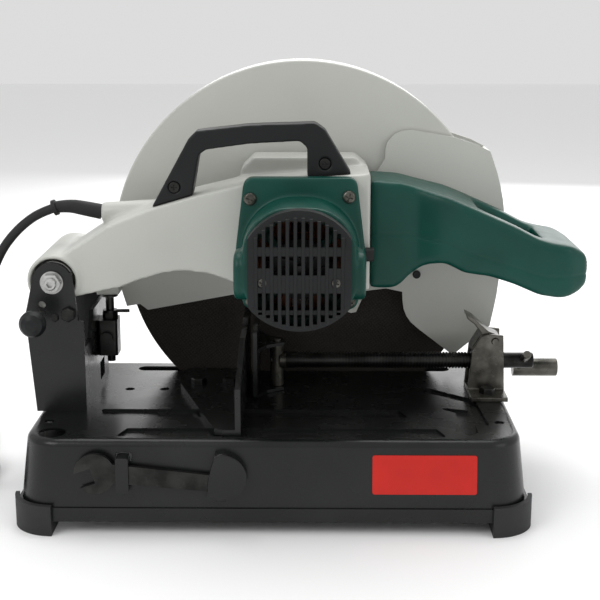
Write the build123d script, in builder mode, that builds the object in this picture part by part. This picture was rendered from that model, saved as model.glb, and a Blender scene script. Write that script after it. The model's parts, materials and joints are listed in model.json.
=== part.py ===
"""An abrasive chop saw for cutting steel bar, in millimetres.

X runs to the right along the vise screw, Y away from the user towards the wheel, and Z up.
The origin lies on the bench, under the middle of the machine without its cord.
The head is down and locked, as it is carried.
"""
import os
from math import atan2, cos, degrees, pi, radians, sin, sqrt, tan

from build123d import *

os.makedirs("parts", exist_ok=True)

# ---- base pan -------------------------------------------------------------------------
feet_length = 459.0
feet_depth = 282.0
pan_top_z = 82.5
pan_top_length = 435.0
pan_top_depth = 250.0
pan_foot_length = 447.0
pan_foot_depth = 266.0
pan_skirt_z = 24.0
pan_step = 2.5
pan_bottom_z = 11.5
pan_corner = 32.0
pan_edge_fillet = 7.0
sheet = 2.0
foot_size = 38.0
foot_height = 27.0
foot_wall = 3.5
bench_hole_r = 4.5
bench_hole_x = 203.2
bench_hole_front_y = 73.1
bench_hole_back_y = 100.0
drain_hole_r = 12.5
spare_hole_r = 4.6
rib_depth = 2.5
slot_length = 320.0
slot_width = 16.0
slot_shift = 15.0

# ---- pivot and lock -------------------------------------------------------------------
handle_reach = 292.0
base_x = (feet_length / 2 - handle_reach) / 2
pivot_x = base_x - 201.6
pivot_z = 204.5
pivot_shaft_r = 7.0
running_gap = 0.05
plate = 4.0
bracket_front_y = -44.0
bracket_inside_front_y = bracket_front_y + plate
bracket_inside_back_y = 84.0
bracket_back_y = bracket_inside_back_y + plate
bracket_web_x = 27.5
bracket_foot_x = -18.6
boss_r = 24.0
bush_gap = 0.5
bush_length = 10.0
bush_r = 9.5
spring_wire_r = 1.6
spring_mean_r = 16.5
spring_turns = 5
lock_x = -11.1
lock_z = -29.9
lock_pin_r = 4.0
lock_knob_r = 12.0
lock_lug_r = 13.0
lock_lug_depth = 14.0

# ---- depth stop -----------------------------------------------------------------------
stop_x = 38.5
stop_y = 40.0
stop_block_top_z = 151.0
stop_block_height = 35.0
stop_screw_r = 4.0
stop_head_z = 176.0
stop_head_r = 8.0
stop_gap = 0.4

# ---- arm, motor and drive -------------------------------------------------------------
arm_front_y = -36.0
arm_back_y = 36.0
arm_reach = 225.1
spindle_rise = 1.5
arm_end = 288.0
arm_wall = 5.0
gear_module = 1.25
pinion_teeth = 8
gear_teeth = 32
gear_backlash = 0.5
gear_width = 14.0
gear_centres = gear_module * (pinion_teeth + gear_teeth) / 2
spindle_x = pivot_x + arm_reach
spindle_z = pivot_z + spindle_rise
motor_z = spindle_z + gear_centres
gear_room_r = 23.5
gear_front_y = 46.0
gear_back_y = gear_front_y + gear_width
case_back_y = 66.0
gear_case_front_y = 26.0
cover_thickness = 5.0
nose_face_y = 78.0
nose_r = 30.0
spindle_r = 7.5
spindle_bearing_r = 16.0
collar_r = 11.0
spindle_bearing_width = 9.0
wheel_r = 177.5
wheel_thickness = 3.0
wheel_bore_r = 12.7
wheel_y = 98.5
flange_r = 40.0
flange_thickness = 8.0
wheel_bolt_r = 5.0
shaft_r = 6.0
shaft_end_r = 5.0
motor_bearing_r = 14.0
motor_bearing_width = 8.0
motor_flange_depth = 14.0
motor_flange_y = arm_front_y - motor_flange_depth
motor_cap_y = -108.0
motor_face_y = -131.0
motor_r = 52.0
motor_wall = 3.0
stator_r = 45.0
armature_r = 25.0
air_gap = 0.6
fan_r = 26.0
commutator_r = 15.0
brush_y = -86.5
brush_z = -9.0
pod_r = 21.0
pod_reach = 57.0
cap_flat = 43.5
grille_pitch = 6.6
grille_slot = 3.4
grille_columns = 11

# ---- guards ---------------------------------------------------------------------------
guard_r = 187.0
guard_rise = 4.0
guard_front_y = nose_face_y
guard_back_y = 122.0
swing_r = 200.0
swing_front_y = 72.5
swing_back_y = 126.5

# ---- handles and cord relief ----------------------------------------------------------
handle_front_y = -42.0
handle_back_y = 69.0
handle_wall = 3.0
carry_front_y = -30.0
carry_depth = 24.0
cord_d = 9.0
cord_y = 20.0
collar_length = 3.5

# ---- vise -----------------------------------------------------------------------------
vise_y = 32.0
vise_z = 111.5
vise_r = 8.0
thread_pitch = 3.0
thread_depth = 1.0
jaw_x = base_x - 21.8
jaw_thickness = 4.0
jaw_pin_r = 6.5
vise_bracket_x = base_x + 184.0
vise_bracket_length = 36.0
vise_cheek = 4.0
vise_half_width = 16.0
screw_front_x = base_x + 9.0
screw_hub_x = base_x + 221.0
crank_x = base_x + 240.0
fence_x = base_x - 33.0
fence_thickness = 5.0
fence_top_z = 147.0
bolt_r = 4.0
bolt_flats = 6.5
bolt_head = 5.5

# ---- what follows from the sizes above ------------------------------------------------
spindle_axis = Axis((spindle_x, 0, spindle_z), (0, 1, 0))


def side_plane(x, y, z):
    """Seen from the user's side: local x right, local y up, extruding towards the user."""
    return Plane(origin=(x, y, z), x_dir=(1, 0, 0), z_dir=(0, -1, 0))


def end_plane(x, y, z):
    """Seen from the left end: local x away from the user, local y up, extruding right."""
    return Plane(origin=(x, y, z), x_dir=(0, 1, 0), z_dir=(1, 0, 0))


def pan_plane(z):
    return Plane(origin=(base_x, 0, z))


def pivot_plane(y):
    return side_plane(pivot_x, y, pivot_z)


def spindle_plane(y):
    return side_plane(spindle_x, y, spindle_z)


def motor_plane(y):
    return side_plane(spindle_x, y, motor_z)


def vise_plane(x):
    return end_plane(x, vise_y, vise_z)


# ---- base -----------------------------------------------------------------------------
long_rib = [(-154, -57), (-158, -40), (112, -40), (118, -57)]
front_rib = [(-133, -111), (-128, -95), (143, -95), (148, -111)]
corner_ribs = [
    [(149, 28), (186, -6), (190, -78), (183, -84), (181, -10), (145, 22)],
    [(158, -34), (176, -40), (178, -100), (169, -108), (164, -101), (170, -44)],
]
ribs = [long_rib, front_rib, *corner_ribs]


def pan_body(inset):
    """The pan's drafted block with its stepped foot, or the hollow that lies a wall inside it."""
    with BuildPart() as body:
        with BuildSketch(pan_plane(pan_skirt_z)):
            RectangleRounded(pan_foot_length - 2 * inset, pan_foot_depth - 2 * inset, pan_corner - inset)
        with BuildSketch(pan_plane(pan_top_z - inset)):
            RectangleRounded(pan_top_length - 2 * inset, pan_top_depth - 2 * inset, pan_corner - inset)
        loft()
        fillet(body.edges().group_by(Axis.Z)[-1], pan_edge_fillet - inset)
        with BuildSketch(pan_plane(pan_bottom_z)):
            RectangleRounded(pan_foot_length - 2 * inset, pan_foot_depth - 2 * inset, pan_corner - inset)
        extrude(amount=pan_skirt_z - pan_bottom_z)
        with BuildSketch(pan_plane(pan_bottom_z)):
            RectangleRounded(
                pan_foot_length + 2 * pan_step - 2 * inset,
                pan_foot_depth + 2 * pan_step - 2 * inset,
                pan_corner + pan_step - inset,
            )
        extrude(amount=pan_skirt_z - pan_bottom_z - inset)
        for outline in ribs:
            with BuildSketch(pan_plane(pan_top_z - inset)):
                with BuildLine():
                    Polyline(*outline, close=True)
                make_face()
                offset(amount=inset + 3, kind=Kind.ARC)
            extrude(amount=-rib_depth, taper=0, mode=Mode.SUBTRACT)
    return body.part


def make_base_pan():
    with BuildPart() as pan:
        add(pan_body(0))
        add(pan_body(sheet), mode=Mode.SUBTRACT)
        with BuildSketch(pan_plane(pan_top_z)):
            with Locations(*bench_holes()):
                Circle(bench_hole_r)
            with Locations((-194.5, -105)):
                Circle(drain_hole_r)
            with Locations((-144, 27), (-110, 27)):
                Circle(spare_hole_r)
            with Locations((slot_shift, wheel_y + wheel_thickness / 2)):
                SlotOverall(slot_length, slot_width)
            with Locations(*fence_bolts()):
                Circle(bolt_r + 0.3)
            with Locations(*bracket_bolts()):
                Circle(bolt_r + 0.3)
            with Locations((vise_bracket_x + vise_bracket_length / 2 - base_x, 5)):
                Circle(bolt_r + 0.3)
        extrude(amount=-pan_edge_fillet, mode=Mode.SUBTRACT)
        with BuildSketch(side_plane(base_x, -pan_top_depth / 2 + 8, 0)):
            with Locations((-129, 68)):
                RectangleRounded(14, 8, 1.5)
        extrude(amount=30, mode=Mode.SUBTRACT)
        add(wrench_clips())
    pan.part.label = "base_pan"
    export_step(pan.part, "parts/base_pan.step")


def wrench_clips():
    """The strap and the pocket pressed out of the skirt, with the room for the spanner cut out."""
    wall_y = -(pan_foot_depth / 2)
    with BuildPart() as clips:
        with BuildSketch(side_plane(base_x, wall_y + 7, 0)):
            with Locations((-129, 55)):
                RectangleRounded(11, 32, 2)
            with BuildLine():
                Polyline((-57, 33), (-49, 73.8), (-40, 73.8))
                ThreePointArc((-40, 73.8), (-21.8, 52), (-40, 33))
                Line((-40, 33), (-57, 33))
            make_face()
        extrude(amount=13.6)
        with BuildSketch(side_plane(base_x, wall_y, 0)):
            with BuildLine():
                Polyline((-145, 46.5), (-145, 66.5), (-46, 56.5), (-46, 38.5), close=True)
            make_face()
        extrude(amount=5.2, mode=Mode.SUBTRACT)
    return clips.part


def bench_holes():
    """Places of the four holes that bolt the machine to a bench, from the pan's middle."""
    front = [(-bench_hole_x, -bench_hole_front_y), (bench_hole_x, -bench_hole_front_y)]
    back = [(-bench_hole_x, bench_hole_back_y), (bench_hole_x, bench_hole_back_y)]
    return front + back


def fence_bolts():
    return [(-76.8, 31), (-46, 31)]


def bracket_bolts():
    return [(pivot_x - base_x + 2, -10), (pivot_x - base_x + 2, 54)]


def make_feet():
    """Rubber corner caps that wrap the pan's foot and stand on the bench."""
    with BuildPart() as feet:
        with BuildSketch(pan_plane(0)):
            RectangleRounded(feet_length, feet_depth, pan_corner + pan_step + foot_wall)
        extrude(amount=foot_height)
        with BuildSketch(pan_plane(0)):
            with GridLocations(feet_length - foot_size, feet_depth - foot_size, 2, 2):
                Rectangle(foot_size, foot_size)
        extrude(amount=foot_height, mode=Mode.INTERSECT)
        with BuildSketch(pan_plane(pan_bottom_z)):
            RectangleRounded(
                pan_foot_length + 2 * pan_step,
                pan_foot_depth + 2 * pan_step,
                pan_corner + pan_step,
            )
        extrude(amount=foot_height, mode=Mode.SUBTRACT)
    feet.part.label = "rubber_feet"
    export_step(feet.part, "parts/rubber_feet.step")


def make_pivot_bracket():
    """A folded steel bracket: two cheeks that hold the pivot, a web between them and a foot."""
    cheek = [(18, 9), (bracket_web_x - 5, -36), (bracket_web_x, -37), (bracket_web_x, pan_top_z - pivot_z)]
    cheek = cheek + [(bracket_foot_x, pan_top_z - pivot_z), (-24, -53), (-25, -28), (-17.6, 3)]
    with BuildPart() as bracket:
        for y in (bracket_inside_front_y, bracket_back_y):
            with BuildSketch(pivot_plane(y)):
                with BuildLine():
                    Polyline(*cheek, close=True)
                make_face()
                Circle(18)
                Circle(pivot_shaft_r + running_gap, mode=Mode.SUBTRACT)
            extrude(amount=plate)
        with BuildSketch(end_plane(pivot_x + bracket_web_x - plate, 0, 0)):
            with BuildLine():
                Polyline(
                    (bracket_inside_front_y, pan_top_z),
                    (bracket_inside_back_y, pan_top_z),
                    (bracket_inside_back_y, pivot_z - 38),
                    (stop_y - 30, pivot_z - 38),
                    (stop_y - 45, pivot_z - 62),
                    (bracket_inside_front_y, pivot_z - 62),
                    close=True,
                )
            make_face()
            with Locations((50, pan_top_z + 15)):
                Rectangle(26, 18, mode=Mode.SUBTRACT)
        extrude(amount=plate)
        with BuildSketch(Plane(origin=(pivot_x, 0, pan_top_z))):
            middle_x = (bracket_foot_x + bracket_web_x - plate) / 2
            middle_y = (bracket_back_y + bracket_front_y) / 2
            with Locations((middle_x, middle_y)):
                Rectangle(
                    bracket_web_x - plate - bracket_foot_x,
                    bracket_inside_back_y - bracket_inside_front_y,
                )
            with Locations(*[(x + base_x - pivot_x, y) for x, y in bracket_bolts()]):
                Circle(bolt_r + 0.3, mode=Mode.SUBTRACT)
        extrude(amount=plate)
        with BuildSketch(pivot_plane(bracket_inside_front_y)):
            with Locations((lock_x, lock_z)):
                Circle(lock_pin_r + running_gap)
            with Locations((-10, -21)):
                Circle(3.5)
            with Locations(stop_bolt_place):
                Circle(stop_bolt_r)
            with Locations(small_screw_place):
                Circle(small_screw_r)
        extrude(amount=plate, mode=Mode.SUBTRACT)
    bracket.part.label = "pivot_bracket"
    export_step(bracket.part, "parts/pivot_bracket.step")


def hex_bolt(place, direction, shank, radius=bolt_r, flats=bolt_flats, head=bolt_head):
    """A hexagon bolt whose head stands on the place, head first along the direction."""
    with BuildPart(mode=Mode.PRIVATE) as bolt:
        with BuildSketch(Plane(origin=place, z_dir=direction)):
            RegularPolygon(flats, 6, major_radius=False)
        extrude(amount=head)
        chamfer(bolt.faces().sort_by(Axis(place, direction))[-1].edges(), 0.8)
        with BuildSketch(Plane(origin=place, z_dir=direction)):
            Circle(radius)
        extrude(amount=-shank)
    return bolt.part


stop_bolt_place = (14, -29.4)
stop_bolt_r = 3.5
small_screw_place = (1.4, -32.8)
small_screw_r = 2.0


def make_base_bolts():
    """The bolts of the pivot bracket, the fence and the vise, and the bracket's two small ones."""
    with BuildPart() as bolts:
        for x, y in fence_bolts():
            seat = (base_x + x, y, pan_top_z + fence_thickness)
            add(hex_bolt(seat, (0, 0, 1), fence_thickness + sheet + 6))
        place = (vise_bracket_x + vise_bracket_length / 2, 5, pan_top_z + vise_cheek)
        add(hex_bolt(place, (0, 0, 1), vise_cheek + sheet + 6))
        for x, y in bracket_bolts():
            add(hex_bolt((base_x + x, y, pan_top_z + plate), (0, 0, 1), plate + sheet + 6))
        x, z = stop_bolt_place
        place = (pivot_x + x, bracket_front_y, pivot_z + z)
        add(hex_bolt(place, (0, -1, 0), plate - 0.5, stop_bolt_r, 6))
        x, z = small_screw_place
        place = (pivot_x + x, bracket_front_y, pivot_z + z)
        add(hex_bolt(place, (0, -1, 0), plate - 0.5, small_screw_r, 3.5, 2))
    bolts.part.label = "base_bolts"
    export_step(bolts.part, "parts/base_bolts.step")


def make_pivot_shaft():
    with BuildPart() as shaft:
        with BuildSketch(pivot_plane(bracket_back_y + 12)):
            Circle(pivot_shaft_r)
        extrude(amount=bracket_back_y - bracket_front_y + 14)
        with BuildSketch(pivot_plane(bracket_front_y - 2)):
            RegularPolygon(8, 6, major_radius=False)
        extrude(amount=5.5)
        with BuildSketch(pivot_plane(bracket_front_y - 7.5)):
            Circle(5.6)
        extrude(amount=3)
        chamfer(shaft.faces().sort_by(Axis.Y)[0].edges(), 0.8)
        with BuildSketch(pivot_plane(bracket_front_y - 10.5)):
            RegularPolygon(2.7, 6, major_radius=False)
        extrude(amount=-3, mode=Mode.SUBTRACT)
    shaft.part.label = "pivot_shaft"
    export_step(shaft.part, "parts/pivot_shaft.step")


def make_pivot_nut():
    """The washers under the shaft's head and nut, and the nut itself."""
    with BuildPart() as nut:
        for y in (bracket_front_y, bracket_back_y + 2):
            with BuildSketch(pivot_plane(y)):
                Circle(10.5)
                Circle(pivot_shaft_r, mode=Mode.SUBTRACT)
            extrude(amount=2)
        with BuildSketch(pivot_plane(bracket_back_y + 10)):
            RegularPolygon(9.5, 6, major_radius=False)
            Circle(pivot_shaft_r, mode=Mode.SUBTRACT)
        extrude(amount=8)
    nut.part.label = "pivot_nut_and_washers"
    export_step(nut.part, "parts/pivot_nut_and_washers.step")


def make_lock_pin():
    """The pin that locks the head when it is pushed in, drawn out here, and its knob."""
    back_y = bracket_inside_front_y - 0.5
    knob_y = bracket_front_y - 26
    with BuildPart() as pin:
        with BuildSketch(pivot_plane(back_y)):
            with Locations((lock_x, lock_z)):
                Circle(lock_pin_r)
        extrude(amount=back_y - knob_y)
    pin.part.label = "lock_pin"
    export_step(pin.part, "parts/lock_pin.step")
    with BuildPart() as knob:
        with BuildSketch(end_plane(pivot_x + lock_x, knob_y, pivot_z + lock_z)):
            with BuildLine():
                Polyline(
                    (0, 0),
                    (0, 6),
                    (-7, 7),
                    (-9, lock_knob_r),
                    (-12, lock_knob_r),
                    (-16, 9.5),
                    (-18, 5.5),
                )
                Polyline((-18, 5.5), (-18.6, 0), (0, 0))
            make_face()
        revolve(axis=Axis((pivot_x + lock_x, 0, pivot_z + lock_z), (0, 1, 0)))
    knob.part.label = "lock_knob"
    export_step(knob.part, "parts/lock_knob.step")


def make_torsion_spring():
    """The spring round the pivot that lifts the head, in its recess in the arm."""
    pitch = 2 * spring_wire_r + 0.3
    start = (pivot_x, arm_front_y + 3, pivot_z)
    with BuildPart() as spring:
        with BuildLine():
            coil = Helix(pitch, pitch * spring_turns, spring_mean_r, center=start, direction=(0, 1, 0))
        with BuildSketch(Plane(origin=coil @ 0, z_dir=coil % 0)):
            Circle(spring_wire_r)
        sweep()
    spring.part.label = "torsion_spring"
    export_step(spring.part, "parts/torsion_spring.step")


def make_depth_stop():
    block_x = pivot_x + bracket_web_x
    screw_x = pivot_x + stop_x
    bottom_z = stop_block_top_z - stop_block_height
    with BuildPart() as block:
        with BuildSketch(Plane(origin=(block_x, stop_y, bottom_z))):
            with Locations((9.5, 0)):
                RectangleRounded(19, 24, 3)
            with Locations((screw_x - block_x, 0)):
                Circle(stop_screw_r + running_gap, mode=Mode.SUBTRACT)
        extrude(amount=stop_block_height)
        with BuildSketch(side_plane(block_x, stop_y - 12, bottom_z + 18)):
            with Locations((9, 0)):
                Circle(6)
        extrude(amount=5)
    block.part.label = "depth_stop_block"
    export_step(block.part, "parts/depth_stop_block.step")
    with BuildPart() as screw:
        with BuildSketch(end_plane(screw_x, stop_y, 0)):
            with BuildLine():
                Polyline((0, bottom_z - 8), (stop_screw_r, bottom_z - 8), (stop_screw_r, stop_head_z - 4))
                Polyline(
                    (stop_screw_r, stop_head_z - 4),
                    (stop_head_r, stop_head_z - 3),
                    (stop_head_r, stop_head_z - 1),
                )
                Polyline((stop_head_r, stop_head_z - 1), (stop_head_r - 2, stop_head_z), (0, stop_head_z))
                Line((0, stop_head_z), (0, bottom_z - 8))
            make_face()
        revolve(axis=Axis((screw_x, stop_y, 0), (0, 0, 1)))
    screw.part.label = "depth_stop_screw"
    export_step(screw.part, "parts/depth_stop_screw.step")
    with BuildPart() as nut:
        with BuildSketch(Plane(origin=(screw_x, stop_y, stop_block_top_z))):
            RegularPolygon(bolt_flats, 6, major_radius=False)
            Circle(stop_screw_r + running_gap, mode=Mode.SUBTRACT)
        extrude(amount=6)
        with BuildSketch(Plane(origin=(screw_x, stop_y, stop_block_top_z + 6))):
            with Locations((9, 0)):
                SlotOverall(20, 4)
            Circle(7)
            Circle(stop_screw_r + running_gap, mode=Mode.SUBTRACT)
        extrude(amount=2.5)
    nut.part.label = "depth_stop_locknut"
    export_step(nut.part, "parts/depth_stop_locknut.step")


def make_label_plate():
    """A plain plate on the sloping front of the pan, with no lettering."""
    slope = degrees(atan2((pan_foot_depth - pan_top_depth) / 2, pan_top_z - pan_skirt_z))
    face_y = -(pan_foot_depth + pan_top_depth) / 4
    middle_z = (pan_top_z + pan_skirt_z) / 2
    upright = Plane(origin=(base_x + 132, face_y, middle_z), x_dir=(1, 0, 0), z_dir=(0, -1, 0))
    face = upright.rotated((-slope, 0, 0))
    with BuildPart() as label:
        with BuildSketch(face.offset(0.05)):
            RectangleRounded(90.5, 34.4, 2)
        extrude(amount=0.7)
    label.part.label = "label_plate"
    export_step(label.part, "parts/label_plate.step")


def make_wrench():
    """The flat spanner for the wheel bolt, clipped on the front of the pan."""
    back_y = -(pan_foot_depth / 2) - 0.4
    with BuildPart() as wrench:
        with BuildSketch(side_plane(base_x, back_y, 0)):
            with BuildLine():
                Polyline((-142, 48), (-142, 65), (-50, 55), (-50, 40), close=True)
            make_face()
            with Locations((-153, 56)):
                Circle(18)
            with Locations((-167, 50)):
                Rectangle(26, 14, rotation=18, mode=Mode.SUBTRACT)
        extrude(amount=4)
        fillet(wrench.edges().filter_by(Axis.Y).group_by(Axis.X)[-1], 3)
    wrench.part.label = "wheel_wrench"
    export_step(wrench.part, "parts/wheel_wrench.step")


# ---- arm ------------------------------------------------------------------------------
arm_top = [(8, 22.6), (48.7, 49.1), (91.6, 66.5), (128.7, 77.4), (173.7, 88.3), (arm_end, 98.2)]
arm_under = [(arm_end, -9.1), (165, -2), (142.8, 6), (120, 9), (102, 7.3), (79, 0.7), (61, -6.3), (21, -15)]
gear_case = [(168, -16), (168, 94), (180, 105.5), (276, 105.5), (arm_end, 96), (arm_end, -9), (262, -9)]
spring_room_depth = spring_turns * (2 * spring_wire_r + 0.3) + 2 * spring_wire_r + 6
carry_screws = [(111.1, 84.7), (247, 106.1)]
relief_x = 37.0
relief_z = 54.5


def arm_outline():
    with BuildSketch(Plane.XY, mode=Mode.PRIVATE) as outline:
        with BuildLine():
            Polyline(*arm_top, *arm_under, close=True)
        make_face()
    return outline.sketch


def make_arm_casting():
    front_y = bracket_inside_front_y + bush_gap
    back_y = bracket_inside_back_y - bush_gap
    lug_root = boss_r - 3
    with BuildPart() as shoulder:
        with BuildSketch(pivot_plane(64)):
            with BuildLine():
                Polyline((5, 20), (48.7, 49.1), (91.6, 66.5), (91.6, 10), (61, -6.3), (21, -15), close=True)
            make_face()
        extrude(amount=64)
        with BuildSketch(Plane(origin=(pivot_x, 0, pivot_z - 40))):
            with BuildLine():
                Polyline((0, 0), (0, 64), (26, 64), (91.6, arm_back_y), (91.6, 0), close=True)
            make_face()
        extrude(amount=130, mode=Mode.INTERSECT)
    with BuildPart() as arm:
        with BuildSketch(pivot_plane(arm_back_y)):
            add(arm_outline())
        extrude(amount=arm_back_y - arm_front_y)
        with BuildSketch(pivot_plane(arm_back_y)):
            add(arm_outline())
            offset(amount=-arm_wall, mode=Mode.REPLACE)
            with Locations((104, 40)):
                Rectangle(104, 200, mode=Mode.INTERSECT)
        extrude(amount=arm_back_y - arm_front_y - arm_wall, mode=Mode.SUBTRACT)
        with BuildSketch(pivot_plane(gear_case_front_y - 2)):
            add(arm_outline())
            offset(amount=-arm_wall - 2, mode=Mode.REPLACE)
            with Locations((215, 40)):
                Rectangle(130, 200, mode=Mode.INTERSECT)
            with Locations((arm_reach, spindle_rise + gear_centres)):
                Circle(motor_bearing_r + 6, mode=Mode.SUBTRACT)
        extrude(amount=gear_case_front_y - 2 - arm_front_y - arm_wall - 1, mode=Mode.SUBTRACT)
        add(shoulder.part)
        with BuildSketch(pivot_plane(case_back_y)):
            with BuildLine():
                Polyline(*gear_case, close=True)
            make_face()
            with Locations((arm_reach, spindle_rise)):
                Circle(nose_r)
            fillet([v for v in vertices() if v.X < 190 or v.Y > 90], 6)
        extrude(amount=case_back_y - gear_case_front_y)
        with BuildSketch(pivot_plane(back_y)):
            Circle(boss_r)
        extrude(amount=back_y - front_y)
        with BuildSketch(pivot_plane(front_y + lock_lug_depth)):
            with BuildLine():
                Polyline(
                    (-lug_root, -8),
                    (lock_x - lock_lug_r, lock_z),
                    (lock_x + lock_lug_r, lock_z),
                    (lug_root, -8),
                    close=True,
                )
            make_face()
            with Locations((lock_x, lock_z)):
                Circle(lock_lug_r)
        extrude(amount=lock_lug_depth)
        with BuildSketch(Plane(origin=(pivot_x + stop_x, stop_y, stop_head_z + stop_gap))):
            Rectangle(22, 24)
        extrude(amount=pivot_z + 12 - stop_head_z)
        for x, z in carry_screws:
            with BuildSketch(pivot_plane(carry_front_y + carry_depth + 16)):
                with Locations((x, z)):
                    Circle(9)
                with Locations((x, z - 10)):
                    Rectangle(22, 20)
            extrude(amount=16)
        with BuildSketch(end_plane(pivot_x + relief_x, cord_y, pivot_z + relief_z)):
            Circle(9)
        with BuildSketch(end_plane(pivot_x + relief_x + 50, cord_y, pivot_z + relief_z - 1)):
            Circle(13)
        loft()
        cut_arm_bores(front_y, back_y)
    arm.part.label = "arm_casting"
    export_step(arm.part, "parts/arm_casting.step")


def cut_arm_bores(front_y, back_y):
    """The pivot bore with its bush seats and spring room, the lock hole and the gear room."""
    motor_rise = spindle_rise + gear_centres
    bores = [
        (0, 0, front_y, back_y, pivot_shaft_r + 0.6),
        (0, 0, front_y, front_y + bush_length, bush_r),
        (0, 0, back_y - bush_length, back_y, bush_r),
        (lock_x, lock_z, front_y, front_y + lock_lug_depth, lock_pin_r + running_gap),
        (arm_reach, spindle_rise, gear_front_y - 2 - spindle_bearing_width, case_back_y, spindle_bearing_r),
        (arm_reach, spindle_rise, gear_front_y - 2, case_back_y, gear_room_r),
        (arm_reach, motor_rise, gear_front_y - 2, case_back_y, 9),
        (arm_reach, motor_rise, arm_front_y, case_back_y, shaft_r + 1),
        (arm_reach, motor_rise, arm_front_y, arm_front_y + motor_bearing_width, motor_bearing_r),
    ]
    for x, z, y0, y1, r in bores:
        with BuildPart(mode=Mode.PRIVATE) as bore:
            with BuildSketch(pivot_plane(y1)):
                with Locations((x, z)):
                    Circle(r)
            extrude(amount=y1 - y0)
        add(bore.part, mode=Mode.SUBTRACT)
    with BuildPart(mode=Mode.PRIVATE) as room:
        with BuildSketch(pivot_plane(front_y + spring_room_depth)):
            Circle(20)
            Circle(bush_r + 3.5, mode=Mode.SUBTRACT)
        extrude(amount=spring_room_depth)
    add(room.part, mode=Mode.SUBTRACT)


def make_pivot_bushes():
    front_y = bracket_inside_front_y + bush_gap
    back_y = bracket_inside_back_y - bush_gap
    with BuildPart() as bushes:
        for y in (front_y + bush_length, back_y):
            with BuildSketch(pivot_plane(y)):
                Circle(bush_r)
                Circle(pivot_shaft_r + running_gap, mode=Mode.SUBTRACT)
            extrude(amount=bush_length)
    bushes.part.label = "pivot_bushes"
    export_step(bushes.part, "parts/pivot_bushes.step")


def make_gear_cover():
    """The plate that closes the gear case, with the nose that carries the guards."""
    with BuildPart() as cover:
        with BuildSketch(pivot_plane(case_back_y + cover_thickness)):
            with BuildLine():
                Polyline(*gear_case, close=True)
            make_face()
            with Locations((arm_reach, spindle_rise)):
                Circle(nose_r)
            fillet([v for v in vertices() if v.X < 190 or v.Y > 90], 6)
        extrude(amount=cover_thickness)
        with BuildSketch(spindle_plane(nose_face_y)):
            Circle(nose_r)
        extrude(amount=nose_face_y - case_back_y)
        with BuildSketch(spindle_plane(nose_face_y)):
            Circle(collar_r + 1)
        extrude(amount=nose_face_y - case_back_y, mode=Mode.SUBTRACT)
        with BuildSketch(spindle_plane(case_back_y + spindle_bearing_width)):
            Circle(spindle_bearing_r)
        extrude(amount=spindle_bearing_width, mode=Mode.SUBTRACT)
    cover.part.label = "gear_case_cover"
    export_step(cover.part, "parts/gear_case_cover.step")


def ring(x, z, front_y, back_y, outer, inner):
    """A plain ring about an axis along Y."""
    with BuildPart(mode=Mode.PRIVATE) as band:
        with BuildSketch(side_plane(x, back_y, z)):
            Circle(outer)
            Circle(inner, mode=Mode.SUBTRACT)
        extrude(amount=back_y - front_y)
    return band.part


def make_ball_bearings():
    """Two bearings carry the spindle and two the armature; each is a plain ring here."""
    rear_y = motor_cap_y + 2
    with BuildPart() as bearings:
        for y in (gear_front_y - 2 - spindle_bearing_width, case_back_y):
            ends = (y, y + spindle_bearing_width)
            add(ring(spindle_x, spindle_z, *ends, spindle_bearing_r, spindle_r + running_gap))
        front_y = arm_front_y + motor_bearing_width
        add(ring(spindle_x, motor_z, arm_front_y, front_y, motor_bearing_r, shaft_r + running_gap))
        back_y = rear_y + motor_bearing_width
        add(ring(spindle_x, motor_z, rear_y, back_y, motor_bearing_r - 1, shaft_end_r + running_gap))
    bearings.part.label = "ball_bearings"
    export_step(bearings.part, "parts/ball_bearings.step")


# ---- motor ----------------------------------------------------------------------------
flange_outline = [(-50, 69.6), (50, 69.6), (58, 5), (54, -36), (50, -50), (-50, -50), (-54, -36), (-58, 5)]
motor_screws = [(-44.6, 50.9), (43.1, 52.8), (-44, -42), (44, -42)]
cap_screws = [(-32, -8.2), (30.2, -7.5)]


def make_motor_housing():
    with BuildPart() as housing:
        with BuildSketch(motor_plane(arm_front_y)):
            with BuildLine():
                Polyline(*flange_outline, close=True)
            make_face()
            fillet(vertices(), 9)
        extrude(amount=motor_flange_depth)
        with BuildSketch(motor_plane(motor_flange_y + 1)):
            RectangleRounded(104, 106, 48)
        with BuildSketch(motor_plane(motor_cap_y)):
            RectangleRounded(2 * cap_flat + 10, 2 * motor_r, 40)
        loft()
        with BuildSketch(end_plane(spindle_x - pod_reach, brush_y, motor_z + brush_z)):
            RectangleRounded(2 * pod_r, 2 * pod_r, 14)
        extrude(amount=2 * pod_reach)
        fillet(housing.faces().filter_by(Axis.X).edges(), 4)
        with BuildSketch(motor_plane(arm_front_y)):
            Circle(stator_r + 1)
        extrude(amount=arm_front_y - motor_cap_y - 22, mode=Mode.SUBTRACT)
        with BuildSketch(motor_plane(arm_front_y)):
            Circle(stator_r - 3)
        extrude(amount=arm_front_y - motor_cap_y, mode=Mode.SUBTRACT)
        with BuildSketch(motor_plane(motor_cap_y + 10)):
            Circle(motor_bearing_r + 3)
            for angle in (45, 135, 225, 315):
                with Locations(Location((0, 0, 0), (0, 0, angle))):
                    with Locations((25, 0)):
                        Rectangle(50, 8)
            Circle(motor_bearing_r - 1, mode=Mode.SUBTRACT)
        extrude(amount=9)
        with BuildSketch(end_plane(spindle_x - pod_reach, brush_y, motor_z + brush_z)):
            Circle(8)
        extrude(amount=2 * pod_reach, mode=Mode.SUBTRACT)
        for x, z in motor_screws:
            with BuildSketch(motor_plane(arm_front_y)):
                with Locations((x, z)):
                    Circle(2.6)
            extrude(amount=motor_flange_depth + 1, mode=Mode.SUBTRACT)
    housing.part.label = "motor_housing"
    export_step(housing.part, "parts/motor_housing.step")


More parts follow.
